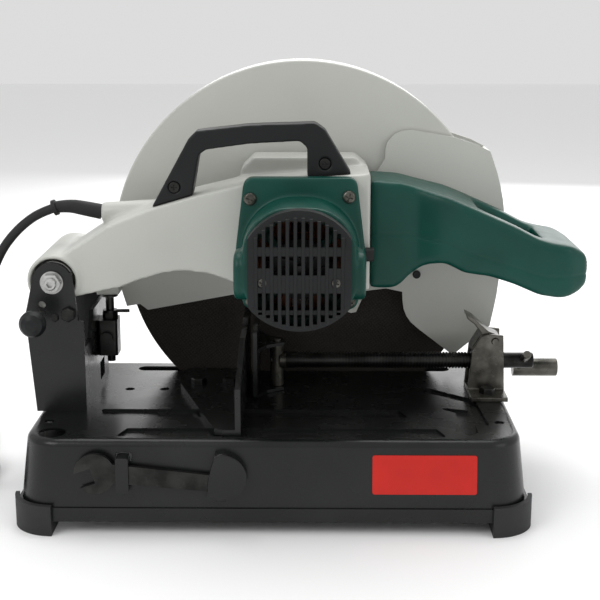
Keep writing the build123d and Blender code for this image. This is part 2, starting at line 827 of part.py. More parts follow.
def pan_screws(places, plane_at, face_y, shank, head_r, head, shank_r):
    """Round-headed screws with a cross recess, heads on the face towards the user."""
    with BuildPart(mode=Mode.PRIVATE) as screws:
        for place in places:
            with BuildSketch(plane_at(face_y)):
                with Locations(place):
                    Circle(head_r)
            extrude(amount=head)
            with BuildSketch(plane_at(face_y)):
                with Locations(place):
                    Circle(shank_r)
            extrude(amount=-shank)
        fillet(screws.edges().group_by(Axis.Y)[0], 0.8)
        for place in places:
            with BuildSketch(plane_at(face_y - head)):
                with Locations(place):
                    Rectangle(head_r, 1)
                    Rectangle(1, head_r)
            extrude(amount=-0.45 * head, mode=Mode.SUBTRACT)
    return screws.part


def make_motor_screws():
    with BuildPart() as screws:
        add(pan_screws(motor_screws, motor_plane, motor_flange_y, motor_flange_depth - 1, 4.6, 3.4, 2.6))
        add(pan_screws(cap_screws, motor_plane, motor_face_y + 1, 18, 3.6, 1.8, 1.9))
    screws.part.label = "motor_screws"
    export_step(screws.part, "parts/motor_screws.step")


def make_end_cap():
    """The slotted cap over the fan end, with flat sides and a face in three facets."""
    depth = motor_cap_y - motor_face_y
    rows = [(21 + 1.5, 43.2), (-1.2, 15), (-31.6, -16.5), (-49.5, -35.9)]
    with BuildPart() as cap:
        with BuildSketch(motor_plane(motor_cap_y)):
            Circle(motor_r)
            Rectangle(2 * cap_flat, 3 * motor_r, mode=Mode.INTERSECT)
        extrude(amount=depth)
        for side, edge in ((1, 21), (-1, -28)):
            with BuildSketch(end_plane(spindle_x - motor_r, 0, motor_z)):
                with BuildLine():
                    Polyline(
                        (motor_face_y - 1, edge),
                        (motor_face_y, edge),
                        (motor_face_y + 10, side * (motor_r + 1)),
                        (motor_face_y - 1, side * (motor_r + 1)),
                        close=True,
                    )
                make_face()
            extrude(amount=2 * motor_r, mode=Mode.SUBTRACT)
        with BuildSketch(motor_plane(motor_cap_y)):
            Circle(motor_r - motor_wall)
            Rectangle(2 * (cap_flat - motor_wall), 3 * motor_r, mode=Mode.INTERSECT)
        extrude(amount=depth - 13, mode=Mode.SUBTRACT)
        with BuildSketch(motor_plane(motor_cap_y)):
            Circle(motor_r - 8)
            Rectangle(2 * (cap_flat - 4), 46, mode=Mode.INTERSECT)
        extrude(amount=depth - motor_wall, mode=Mode.SUBTRACT)
        for column in range(grille_columns):
            x = (column - (grille_columns - 1) / 2) * grille_pitch
            reach = sqrt((motor_r - 5) ** 2 - x * x)
            for low, high in rows:
                low, high = max(low, -reach), min(high, reach)
                if abs(abs(x) - 31) < 6 and low == rows[1][0]:
                    low = low + 6
                with BuildSketch(motor_plane(motor_cap_y - 2)):
                    with Locations((x, (low + high) / 2)):
                        Rectangle(grille_slot, high - low)
                extrude(amount=depth, mode=Mode.SUBTRACT)
        for x, z in cap_screws:
            with BuildSketch(motor_plane(motor_cap_y)):
                with Locations((x, z)):
                    Circle(4.5)
            extrude(amount=depth - 1)
            with BuildSketch(motor_plane(motor_cap_y)):
                with Locations((x, z)):
                    Circle(1.9)
            extrude(amount=depth, mode=Mode.SUBTRACT)
            with BuildSketch(motor_plane(motor_face_y + 1)):
                with Locations((x, z)):
                    Circle(3.9)
            extrude(amount=1, mode=Mode.SUBTRACT)
    cap.part.label = "motor_end_cap"
    export_step(cap.part, "parts/motor_end_cap.step")


def make_brushes():
    """Carbon brushes on the commutator and the slotted caps that close their holders."""
    with BuildPart() as caps:
        for side in (-1, 1):
            with BuildSketch(end_plane(spindle_x + side * pod_reach, brush_y, motor_z + brush_z)):
                Circle(7.8)
                Rectangle(12, 1.6, mode=Mode.SUBTRACT)
            extrude(amount=-side * 3)
    caps.part.label = "brush_caps"
    export_step(caps.part, "parts/brush_caps.step")
    with BuildPart() as brushes:
        for side in (-1, 1):
            with BuildSketch(end_plane(spindle_x + side * (commutator_r + 0.3), brush_y, motor_z)):
                Rectangle(8, 6)
            extrude(amount=side * 16)
    brushes.part.label = "carbon_brushes"
    export_step(brushes.part, "parts/carbon_brushes.step")


def make_stator():
    with BuildPart() as stator:
        with BuildSketch(motor_plane(arm_front_y - 4)):
            Circle(stator_r)
            Circle(armature_r + air_gap, mode=Mode.SUBTRACT)
            for angle in (0, 180):
                with Locations(Location((0, 0, 0), (0, 0, angle + 90))):
                    with Locations((armature_r + 8, 0)):
                        Rectangle(12, 16, mode=Mode.SUBTRACT)
        extrude(amount=40)
    stator.part.label = "motor_stator"
    export_step(stator.part, "parts/motor_stator.step")


def make_armature():
    """Core, commutator and fan on the armature shaft, whose end is cut as the pinion."""
    with BuildPart() as core:
        with BuildSketch(motor_plane(arm_front_y - 6)):
            Circle(armature_r)
            Circle(shaft_r, mode=Mode.SUBTRACT)
            with PolarLocations(armature_r - 2, 12):
                Rectangle(6, 2.2, mode=Mode.SUBTRACT)
        extrude(amount=36)
    core.part.label = "armature_core"
    export_step(core.part, "parts/armature_core.step")
    with BuildPart() as commutator:
        with BuildSketch(motor_plane(brush_y + 8)):
            Circle(commutator_r)
            Circle(shaft_r, mode=Mode.SUBTRACT)
            with PolarLocations(commutator_r, 24):
                Rectangle(1.4, 0.7, mode=Mode.SUBTRACT)
        extrude(amount=16)
    commutator.part.label = "commutator"
    export_step(commutator.part, "parts/commutator.step")
    fan_y = motor_cap_y - 2
    with BuildPart() as fan:
        with BuildSketch(motor_plane(fan_y)):
            Circle(fan_r)
            Circle(shaft_end_r, mode=Mode.SUBTRACT)
        extrude(amount=2)
        with BuildSketch(motor_plane(fan_y - 2)):
            with PolarLocations(fan_r * 0.6, 10):
                Rectangle(fan_r * 0.6, 1.6, rotation=25)
        extrude(amount=5)
    fan.part.label = "cooling_fan"
    export_step(fan.part, "parts/cooling_fan.step")


def gear_outline(teeth, tooth_at):
    """Straight-sided teeth of the drive's module, with room for oil between the flanks."""
    pitch_r = gear_module * teeth / 2
    root_r = pitch_r - 1.2 * gear_module
    tip_r = pitch_r + 0.8 * gear_module
    half = (pi * gear_module / 2 - gear_backlash) / 2
    tooth = [(root_r - 1, half + 0.35), (root_r, half + 0.35), (pitch_r, half), (tip_r, half * 0.45)]
    outline = tooth + [(r, -w) for r, w in reversed(tooth)]
    with BuildSketch(Plane.XY, mode=Mode.PRIVATE) as gear:
        Circle(root_r)
        with Locations(*[Location((0, 0, 0), (0, 0, tooth_at + n * 360 / teeth)) for n in range(teeth)]):
            Polygon(*outline, align=None)
    return gear.sketch


def make_armature_shaft():
    with BuildPart() as shaft:
        with BuildSketch(motor_plane(gear_front_y - 2)):
            Circle(shaft_r)
        extrude(amount=gear_front_y - 2 - brush_y + 8)
        with BuildSketch(motor_plane(brush_y + 8)):
            Circle(shaft_end_r)
        extrude(amount=brush_y + 8 - motor_cap_y + 14)
        with BuildSketch(motor_plane(gear_back_y + 1)):
            add(gear_outline(pinion_teeth, 180 / pinion_teeth))
        extrude(amount=gear_width + 3)
    shaft.part.label = "armature_shaft"
    export_step(shaft.part, "parts/armature_shaft.step")


# ---- spindle and wheel ----------------------------------------------------------------
flange_front_y = wheel_y - flange_thickness
bolt_face_y = wheel_y + wheel_thickness + flange_thickness


def make_spindle():
    start_y = gear_front_y - 2 - spindle_bearing_width
    with BuildPart() as spindle:
        with BuildSketch(spindle_plane(flange_front_y)):
            Circle(spindle_r)
        extrude(amount=flange_front_y - start_y)
        with BuildSketch(spindle_plane(flange_front_y)):
            Circle(collar_r)
        extrude(amount=flange_front_y - case_back_y - spindle_bearing_width)
        with BuildSketch(spindle_plane(bolt_face_y - 2)):
            Circle(spindle_r)
        extrude(amount=bolt_face_y - 2 - flange_front_y)
        with BuildSketch(spindle_plane(bolt_face_y)):
            Circle(wheel_bolt_r)
        extrude(amount=24, mode=Mode.SUBTRACT)
    spindle.part.label = "spindle"
    export_step(spindle.part, "parts/spindle.step")


def make_drive_gear():
    with BuildPart() as gear:
        with BuildSketch(spindle_plane(gear_back_y)):
            add(gear_outline(gear_teeth, 90))
            Circle(spindle_r, mode=Mode.SUBTRACT)
            with PolarLocations(13, 6):
                Circle(2.5, mode=Mode.SUBTRACT)
        extrude(amount=gear_width)
    gear.part.label = "drive_gear"
    export_step(gear.part, "parts/drive_gear.step")


def make_flanges():
    """The dished steel flanges that clamp the wheel, and the bolt that draws them together."""
    with BuildPart() as inner:
        with BuildSketch(end_plane(spindle_x, 0, spindle_z)):
            with BuildLine():
                Polyline(
                    (flange_front_y, spindle_r),
                    (flange_front_y, 20),
                    (wheel_y - 3, flange_r),
                    (wheel_y, flange_r),
                    (wheel_y, flange_r - 10),
                    (wheel_y - 1, flange_r - 11),
                    (wheel_y - 1, wheel_bore_r),
                    (wheel_y + wheel_thickness - 0.5, wheel_bore_r),
                    (wheel_y + wheel_thickness - 0.5, spindle_r),
                    close=True,
                )
            make_face()
        revolve(axis=spindle_axis)
    inner.part.label = "inner_flange"
    export_step(inner.part, "parts/inner_flange.step")
    back = wheel_y + wheel_thickness
    with BuildPart() as outer:
        with BuildSketch(end_plane(spindle_x, 0, spindle_z)):
            with BuildLine():
                Polyline(
                    (bolt_face_y, spindle_r),
                    (bolt_face_y, 20),
                    (back + 3, flange_r),
                    (back, flange_r),
                    (back, flange_r - 10),
                    (back + 1, flange_r - 11),
                    (back + 1, spindle_r),
                    close=True,
                )
            make_face()
        revolve(axis=spindle_axis)
    outer.part.label = "outer_flange"
    export_step(outer.part, "parts/outer_flange.step")
    with BuildPart() as bolt:
        add(hex_bolt((spindle_x, bolt_face_y + 2, spindle_z), (0, 1, 0), 24, wheel_bolt_r, 8.5, 6.5))
        add(ring(spindle_x, spindle_z, bolt_face_y, bolt_face_y + 2, 12, wheel_bolt_r))
    bolt.part.label = "wheel_bolt"
    export_step(bolt.part, "parts/wheel_bolt.step")


def make_abrasive_wheel():
    with BuildPart() as wheel:
        with BuildSketch(spindle_plane(wheel_y + wheel_thickness)):
            Circle(wheel_r)
            Circle(wheel_bore_r, mode=Mode.SUBTRACT)
        extrude(amount=wheel_thickness)
    wheel.part.label = "abrasive_wheel"
    export_step(wheel.part, "parts/abrasive_wheel.step")


# ---- guards ---------------------------------------------------------------------------
guard_under = [(-230, -33.6), (-181, -33.6), (-175.6, -52.2), (-162.5, -49.9), (-154.6, -56), (-71.9, -40.6)]
guard_under = guard_under + [(-34, -34), (26, -48), (49.5, -58.8), (54.6, -57.8), (64, -36), (230, -14)]
swing_edge = [(183.3, 104.3), (186.5, 95.5), (190.75, 83.4), (194.2, 71), (197.3, 56.25), (199.2, 41.3)]
swing_edge = swing_edge + [(199.9, 26.3), (199.4, 11.3), (198.25, -6.5), (195.5, -24.1), (194, -38.5)]
swing_edge = swing_edge + [(191.5, -52.8), (188.1, -70.3)]
swing_front = [(151.8, -100.6), (129.2, -83), (116.5, -73.2), (109.3, -66.8), (104.9, -60.6)]
swing_front = swing_front + [(102, -53.4), (100.7, -45), (100.2, -35.6)]
swing_top = [(81.3, 97.4), (81.2, 105.2), (83, 113), (89.7, 120.7), (97.4, 124.1), (107.1, 125.1)]
swing_top = swing_top + [(148.9, 117.9), (169.5, 111.1)]


def guard_face(radius):
    """The fixed guard's side view: a disc above its cut-away lower edge."""
    with BuildSketch(Plane.XY, mode=Mode.PRIVATE) as face:
        with Locations((0, guard_rise)):
            Circle(radius)
        with BuildLine():
            Polyline(*guard_under, (230, 230), (-230, 230), close=True)
        make_face(mode=Mode.INTERSECT)
    return face.sketch


def make_fixed_guard():
    with BuildPart() as guard:
        with BuildSketch(spindle_plane(guard_front_y + sheet)):
            add(guard_face(guard_r))
            Circle(nose_r - 8, mode=Mode.SUBTRACT)
        extrude(amount=sheet)
        with BuildSketch(spindle_plane(guard_back_y - sheet)):
            add(guard_face(guard_r))
            with Locations((0, guard_rise)):
                Circle(guard_r - sheet, mode=Mode.SUBTRACT)
        extrude(amount=guard_back_y - guard_front_y - 2 * sheet)
        rims = guard.edges().filter_by(GeomType.CIRCLE).filter_by(lambda e: e.radius > guard_r - 1)
        fillet(rims.group_by(Axis.Y)[0], 1.8)
    guard.part.label = "fixed_guard"
    export_step(guard.part, "parts/fixed_guard.step")


def make_guard_cover():
    """The guard's rear wall, with an opening for the spanner."""
    with BuildPart() as cover:
        with BuildSketch(spindle_plane(guard_back_y)):
            add(guard_face(guard_r))
            Circle(flange_r + 6, mode=Mode.SUBTRACT)
        extrude(amount=sheet)
    cover.part.label = "guard_rear_cover"
    export_step(cover.part, "parts/guard_rear_cover.step")


def swing_face():
    with BuildSketch(Plane.XY, mode=Mode.PRIVATE) as face:
        with BuildLine():
            Polyline(*swing_top, *swing_edge, *swing_front, (38, -22), (38, 26), close=True)
        make_face()
        Circle(nose_r + 12)
        Circle(nose_r + running_gap, mode=Mode.SUBTRACT)
    return face.sketch


def make_swing_guard():
    share = (swing_r - sheet) / swing_r
    inner_edge = [(x * share, z * share) for x, z in swing_edge]
    with BuildPart() as guard:
        with BuildSketch(spindle_plane(swing_front_y + sheet)):
            add(swing_face())
        extrude(amount=sheet)
        with BuildSketch(spindle_plane(swing_back_y)):
            add(swing_face())
            Circle(100, mode=Mode.SUBTRACT)
        extrude(amount=sheet)
        with BuildSketch(spindle_plane(swing_back_y)):
            with BuildLine():
                Polyline(*swing_edge, *reversed(inner_edge), close=True)
            make_face()
        extrude(amount=swing_back_y - swing_front_y)
    guard.part.label = "swing_guard"
    export_step(guard.part, "parts/swing_guard.step")
    with BuildPart() as bumper:
        with BuildSketch(spindle_plane(swing_front_y)):
            with Locations((114, -17.8)):
                Circle(4)
        extrude(amount=3)
        fillet(bumper.edges().group_by(Axis.Y)[0], 1)
    bumper.part.label = "guard_bumper"
    export_step(bumper.part, "parts/guard_bumper.step")


# ---- rear handle ----------------------------------------------------------------------
handle_top = [(arm_end, 98.2), (316, 96), (360, 84), (393, 68.4), (419, 55.7), (439, 41.9), (452, 34.9)]
handle_top = handle_top + [(470, 32), (483, 24), (489, 10)]
handle_under = [(486, -2), (478, -9), (469, -12.4), (460, -13.8), (442, -11), (419, -0.9), (396, 6.4)]
handle_under = handle_under + [(374, 9.2), (356, 17.5), (338, 13.8), (326, 5.4), (315.5, -5.7), (309, -9)]
handle_under = handle_under + [(arm_end, -9)]
handle_plan = [(arm_end, -22), (330, -24), (352, -34), (376, -42), (468, -42), (484, -30), (489, 14)]
handle_plan = handle_plan + [(484, 56), (468, 69), (376, 69), (352, 60), (330, 54), (arm_end, 52)]
handle_seam = [(arm_end - 1, 41), (324, 41), (360, 34), (374, 28.4), (405, 18.4), (446, 5), (500, 7)]
grip_room = (388.0, 447.0)
grip_room_y = (-18.0, 46.0)
trigger_y = 14.0
trigger_z = 4.0
button_r = 9.0


def handle_body(inset):
    """The handle's outer form, or the hollow that lies a wall inside it."""
    grow = -inset
    middle_x = (grip_room[0] + grip_room[1]) / 2
    middle_y = (grip_room_y[0] + grip_room_y[1]) / 2
    with BuildPart() as body:
        with BuildSketch(pivot_plane(handle_back_y)):
            with BuildLine():
                Polyline(*handle_top, *handle_under, close=True)
            make_face()
            if inset:
                offset(amount=grow, mode=Mode.REPLACE)
        extrude(amount=handle_back_y - handle_front_y)
        with BuildSketch(Plane(origin=(pivot_x, 0, pivot_z - 50))):
            with BuildLine():
                Polyline(*handle_plan, close=True)
            make_face()
            if inset:
                offset(amount=grow, mode=Mode.REPLACE)
            with Locations((middle_x, middle_y)):
                RectangleRounded(
                    grip_room[1] - grip_room[0] + 2 * inset,
                    grip_room_y[1] - grip_room_y[0] + 2 * inset,
                    16 + inset,
                    mode=Mode.SUBTRACT,
                )
        extrude(amount=200, mode=Mode.INTERSECT)
    return body.part


def make_handle_shells():
    with BuildPart() as whole:
        add(handle_body(0))
        add(handle_body(handle_wall), mode=Mode.SUBTRACT)
        with BuildSketch(end_plane(pivot_x + grip_room[1] - 8, trigger_y, pivot_z + trigger_z)):
            Rectangle(30.6, 20.6)
        extrude(amount=14, mode=Mode.SUBTRACT)
        with BuildSketch(end_plane(pivot_x + 475, trigger_y, pivot_z + 5)):
            Circle(button_r + 0.3)
        extrude(amount=25, mode=Mode.SUBTRACT)
    for name, limit in (("handle_upper_shell", 200), ("handle_lower_shell", -200)):
        with BuildPart() as shell:
            add(whole.part)
            with BuildSketch(pivot_plane(handle_back_y + 1)):
                with BuildLine():
                    Polyline(*handle_seam, (500, limit), (arm_end - 1, limit), close=True)
                make_face()
            extrude(amount=handle_back_y - handle_front_y + 2, mode=Mode.INTERSECT)
        shell.part.label = name
        export_step(shell.part, f"parts/{name}.step")


def make_switchgear():
    """The trigger in the grip, the lock-on button at its outer end and the switch between."""
    back_x = pivot_x + grip_room[1] + 10
    with BuildPart() as trigger:
        with BuildSketch(end_plane(pivot_x + grip_room[1] - 9, trigger_y, pivot_z + trigger_z)):
            RectangleRounded(30, 20, 3)
        extrude(amount=13)
        fillet(trigger.faces().sort_by(Axis.X)[0].edges(), 2)
    trigger.part.label = "trigger"
    export_step(trigger.part, "parts/trigger.step")
    with BuildPart() as switch:
        with BuildSketch(end_plane(back_x + 1, trigger_y, pivot_z + 4)):
            Rectangle(34, 17)
        extrude(amount=13)
    switch.part.label = "switch_block"
    export_step(switch.part, "parts/switch_block.step")
    with BuildPart() as button:
        with BuildSketch(end_plane(pivot_x + 480, trigger_y, pivot_z + 5)):
            Circle(button_r)
        extrude(amount=base_x + handle_reach - pivot_x - 480)
        fillet(button.edges().group_by(Axis.X)[-1], 1.5)
        with BuildSketch(end_plane(base_x + handle_reach, trigger_y, pivot_z + 5)):
            with GridLocations(0, 3, 1, 5):
                Rectangle(20, 1.1)
        extrude(amount=-1, mode=Mode.SUBTRACT)
    button.part.label = "lock_on_button"
    export_step(button.part, "parts/lock_on_button.step")
    with BuildPart() as grommet:
        with BuildSketch(end_plane(pivot_x + 283.3, arm_front_y - 6, pivot_z + 26)):
            RectangleRounded(10, 12, 3)
        extrude(amount=8)
    grommet.part.label = "cable_grommet"
    export_step(grommet.part, "parts/cable_grommet.step")


# ---- carry handle ---------------------------------------------------------------------
def make_carry_handle():
    with BuildPart() as handle:
        with BuildSketch(pivot_plane(carry_front_y + carry_depth)):
            with BuildLine():
                Polyline((90, 66), (124.6, 128.3), (132, 135.4), (180, 140.8), (238, 142.6), (247, 136.4))
                Polyline((247, 136.4), (272, 95), (231, 94), (231, 120.3), (224.6, 126.2), (180, 123.9))
                Polyline((180, 123.9), (140.5, 118.5), (134, 114), (127.5, 77.3), (90, 66))
            make_face()
        extrude(amount=carry_depth)
        fillet(handle.edges().filter_by(Axis.Y).group_by(Axis.Z)[-1], 5)
        with BuildSketch(pivot_plane(arm_back_y)):
            add(arm_outline())
        extrude(amount=arm_back_y - arm_front_y, mode=Mode.SUBTRACT)
        for place in carry_screws:
            with BuildSketch(pivot_plane(carry_front_y + carry_depth)):
                with Locations(place):
                    Circle(2.6)
            extrude(amount=carry_depth, mode=Mode.SUBTRACT)
            with BuildSketch(pivot_plane(carry_front_y + 3)):
                with Locations(place):
                    Circle(5.6)
            extrude(amount=3, mode=Mode.SUBTRACT)
    handle.part.label = "carry_handle"
    export_step(handle.part, "parts/carry_handle.step")
    with BuildPart() as screws:
        add(pan_screws(carry_screws, pivot_plane, carry_front_y + 3, carry_depth - 3, 5, 3.2, 2.6))
    screws.part.label = "carry_handle_screws"
    export_step(screws.part, "parts/carry_handle_screws.step")


# ---- cord -----------------------------------------------------------------------------
cord_route = [
    (-241.5, 20, 262.3),
    (-254, 20, 257.9),
    (-267.5, 20, 249.3),
    (-281, 20, 236.8),
    (-293, 20, 221),
    (-301.5, 16, 201),
    (-306, 6, 181),
    (-308, -8, 163),
    (-308.5, -24, 143),
    (-308, -38, 121),
    (-307.5, -49, 98),
    (-307, -54.5, 74),
    (-307, -55, 48.6),
    (-307, -46.6, 28.3),
    (-307, -31.2, 12.9),
    (-307, -10.9, 4.5),
    (-307, 8, 4.5),
]
coil_x = -366.0
coil_y = 8.0
coil_mid_r = 50.0
coil_wide = 3
coil_high = 2
coil_leave = 60.0
plug_turn = -30.0


def cord_radii(route):
    """The arc at each corner of the route, as large as its two runs allow."""
    radii = []
    for before, corner, after in zip(route, route[1:], route[2:]):
        into = Vector(corner) - Vector(before)
        out = Vector(after) - Vector(corner)
        half_turn = radians(into.get_angle(out)) / 2
        radii.append(0.45 * min(into.length, out.length) / tan(half_turn))
    return radii


def make_cord():
    radii = cord_radii(cord_route)
    print("cord radii:", [round(r) for r in radii])
    with BuildPart() as lead:
        with BuildLine():
            path = FilletPolyline(*cord_route, radius=radii)
        with BuildSketch(Plane(origin=path @ 0, z_dir=path % 0)):
            Circle(cord_d / 2)
        sweep()
    print("cord lead length:", round(path.length))
    lead.part.label = "cord_lead"
    export_step(lead.part, "parts/cord_lead.step")
    wide = coil_wide * cord_d
    high = coil_high * cord_d
    with BuildPart() as coil:
        with BuildSketch(Plane(origin=(coil_x, coil_y, 0))):
            Circle(coil_mid_r + wide / 2)
            Circle(coil_mid_r - wide / 2, mode=Mode.SUBTRACT)
        extrude(amount=high)
        fillet(coil.edges(), cord_d / 3)
    coil.part.label = "cord_coil"
    export_step(coil.part, "parts/cord_coil.step")


def make_cord_relief():
    """The tapered sleeve where the cord leaves the arm."""
    end = Plane(origin=cord_route[0], z_dir=Vector(cord_route[0]) - Vector(cord_route[1]))
    with BuildPart() as relief:
        with BuildSketch(end_plane(pivot_x + relief_x, cord_y, pivot_z + relief_z)):
            Circle(7.2)
        with BuildSketch(end.offset(collar_length)):
            Circle(6)
        loft()
        with BuildSketch(end):
            Circle(7.5)
        extrude(amount=collar_length)
    relief.part.label = "cord_relief"
    export_step(relief.part, "parts/cord_relief.step")


def make_plug():
    """A moulded two-pin plug that lies beside the coil."""
    outer_r = coil_mid_r + (coil_wide + 1) / 2 * cord_d
    angle = radians(coil_leave)
    turn = radians(coil_leave + plug_turn)
    start = (coil_x + outer_r * cos(angle), coil_y + outer_r * sin(angle), coil_high * cord_d / 2)
    way = (-sin(turn), cos(turn), 0)
    cross = (cos(turn), sin(turn), 0)
    tail = Plane(origin=start, x_dir=cross, z_dir=way)
    body = Plane(origin=(start[0] + 34 * way[0], start[1] + 34 * way[1], 18.5), x_dir=cross, z_dir=way)
    with BuildPart() as plug:
        with BuildSketch(tail):
            Circle(cord_d / 2 + 1)
        with BuildSketch(body):
            Circle(9)
        loft()
        with BuildSketch(body):
            Circle(9)
        with BuildSketch(body.offset(14)):
            Circle(18)
        loft()
        with BuildSketch(body.offset(14)):
            Circle(18)
        extrude(amount=22)
        with BuildSketch(body.offset(36)):
            with GridLocations(19, 0, 2, 1):
                Circle(2.4)
        extrude(amount=19)
    plug.part.label = "plug"
    export_step(plug.part, "parts/plug.step")


# ---- fence and vise -------------------------------------------------------------------
fence_left = -94.5


def make_fence():
    """The angle plate that the work is clamped against, bolted to the pan."""
    x = fence_x - base_x
    with BuildPart() as fence:
        with BuildSketch(pan_plane(pan_top_z)):
            with BuildLine():
                Polyline(
                    (x + 5, -112),
                    (x + 5, 85),
                    (-88, 85),
                    (fence_left, 78),
                    (fence_left, 30),
                    (-51, -110),
                    (-44, -112),
                    close=True,
                )
            make_face()
            with Locations(*fence_bolts()):
                Circle(bolt_r + 0.3, mode=Mode.SUBTRACT)
        extrude(amount=fence_thickness)
        with BuildSketch(end_plane(fence_x, 0, 0)):
            with BuildLine():
                Polyline(
                    (-112, pan_top_z),
                    (85, pan_top_z),
                    (85, fence_top_z + 6),
                    (34, fence_top_z + 6),
                    (26, fence_top_z),
                    (-20, fence_top_z),
                    (-112, pan_top_z + 42),
                    close=True,
                )
            make_face()
        extrude(amount=fence_thickness)
    fence.part.label = "fence"
    export_step(fence.part, "parts/fence.step")


lever_pin_x = 209.8
lever_pin_z = 134.4


def make_vise_bracket():
    """The folded bracket with two cheeks that holds the half nut and its lever."""
    cheek = [(184.3, pan_top_z), (220, pan_top_z), (217.6, 140), (204.3, 141.3), (196.2, 139.3), (188, 125.4)]
    front_y = vise_y - vise_half_width
    with BuildPart() as bracket:
        for y in (front_y + vise_cheek, vise_y + vise_half_width):
            with BuildSketch(side_plane(base_x, y, 0)):
                with BuildLine():
                    Polyline(*cheek, close=True)
                make_face()
                with Locations((lever_pin_x, lever_pin_z)):
                    Circle(3, mode=Mode.SUBTRACT)
            extrude(amount=vise_cheek)
        with BuildSketch(Plane(origin=(vise_bracket_x, 0, pan_top_z))):
            with BuildLine():
                Polyline((0.3, -12), (35.7, -12), (35.7, 47), (0.3, 47), close=True)
            make_face()
            with Locations((vise_bracket_length / 2, 5)):
                Circle(bolt_r + 0.3, mode=Mode.SUBTRACT)
        extrude(amount=vise_cheek)
    bracket.part.label = "vise_bracket"
    export_step(bracket.part, "parts/vise_bracket.step")


def make_half_nut():
    """The threaded block that the screw runs in, fixed between the cheeks."""
    inside = vise_half_width - vise_cheek
    with BuildPart() as nut:
        with BuildSketch(vise_plane(vise_bracket_x + 6)):
            with Locations((0, -4)):
                Rectangle(2 * inside, 22)
            Circle(vise_r + running_gap, mode=Mode.SUBTRACT)
            with Locations((0, 20)):
                Rectangle(2 * (vise_r + running_gap), 40, mode=Mode.SUBTRACT)
        extrude(amount=24)
    nut.part.label = "half_nut"
    export_step(nut.part, "parts/half_nut.step")


def make_release_lever():
    """The latch that drops onto the screw, with its curved thumb tab, and the pin it turns on."""
    inside = vise_half_width - vise_cheek - 0.4
    with BuildPart() as lever:
        with BuildSketch(side_plane(base_x, vise_y + inside, 0)):
            with BuildLine():
                Polyline((214.5, 131), (214.5, 139), (204, 143), (196, 150), (189, 156.5), (181.7, 160))
                Polyline(
                    (181.7, 160),
                    (183, 155.5),
                    (190, 150),
                    (197, 141),
                    (190, 130),
                    (187, 124.5),
                    (199, 124.5),
                    (206, 128),
                    (214.5, 131),
                )
            make_face()
            with Locations((lever_pin_x, lever_pin_z)):
                Circle(3 + running_gap, mode=Mode.SUBTRACT)
        extrude(amount=2 * inside)
    lever.part.label = "release_lever"
    export_step(lever.part, "parts/release_lever.step")
    with BuildPart() as pin:
        with BuildSketch(side_plane(base_x, vise_y + vise_half_width + 2, 0)):
            with Locations((lever_pin_x, lever_pin_z)):
                Circle(3)
        extrude(amount=2 * vise_half_width + 4)
    pin.part.label = "lever_pin"
    export_step(pin.part, "parts/lever_pin.step")


def make_vise_screw():
    """The screw with its hub; square grooves stand for the thread."""
    threads = int((vise_bracket_x + 40 - screw_front_x - 20) / thread_pitch)
    with BuildPart() as screw:
        with BuildSketch(vise_plane(screw_front_x)):
            Circle(vise_r)
        extrude(amount=screw_hub_x - screw_front_x)
        with BuildSketch(vise_plane(screw_hub_x)):
            Circle(vise_r - 0.4)
        extrude(amount=28)
        for turn in range(threads):
            with BuildSketch(vise_plane(screw_front_x + 10 + turn * thread_pitch)):
                Circle(vise_r)
                Circle(vise_r - thread_depth, mode=Mode.SUBTRACT)
            extrude(amount=thread_pitch / 2, mode=Mode.SUBTRACT)
        with BuildSketch(vise_plane(screw_front_x - 15)):
            Circle(5)
        extrude(amount=15)
        chamfer(screw.edges().group_by(Axis.X)[-1], 1)
        rod = crank_plane(0)
        with BuildSketch(rod.offset(-20)):
            Circle(crank_r)
        extrude(amount=40, mode=Mode.SUBTRACT)
    screw.part.label = "vise_screw"
    export_step(screw.part, "parts/vise_screw.step")


crank_r = 4.0
crank_tilt = atan2(124 - 97.6, 60 - 10)


def crank_plane(along):
    """Across the crank rod, a distance along it from the screw's axis, away and down."""
    way = (0, cos(crank_tilt), -sin(crank_tilt))
    return Plane(
        origin=(crank_x, vise_y + along * way[1], vise_z + along * way[2]),
        x_dir=(1, 0, 0),
        z_dir=way,
    )


def make_crank():
    with BuildPart() as rod:
        with BuildSketch(crank_plane(-25)):
            Circle(crank_r)
        extrude(amount=57)
        fillet(rod.edges(), 1)
    rod.part.label = "crank_rod"
    export_step(rod.part, "parts/crank_rod.step")
    grip_y = vise_y + 32 * cos(crank_tilt)
    grip_z = vise_z - 32 * sin(crank_tilt)
    with BuildPart() as grip:
        with BuildSketch(end_plane(crank_x - 6, grip_y, grip_z)):
            Circle(8.8)
        extrude(amount=44)
        fillet(grip.edges().group_by(Axis.X)[-1], 1.5)
        with BuildSketch(crank_plane(0)):
            Circle(crank_r)
        extrude(amount=32, mode=Mode.SUBTRACT)
    grip.part.label = "crank_grip"
    export_step(grip.part, "parts/crank_grip.step")


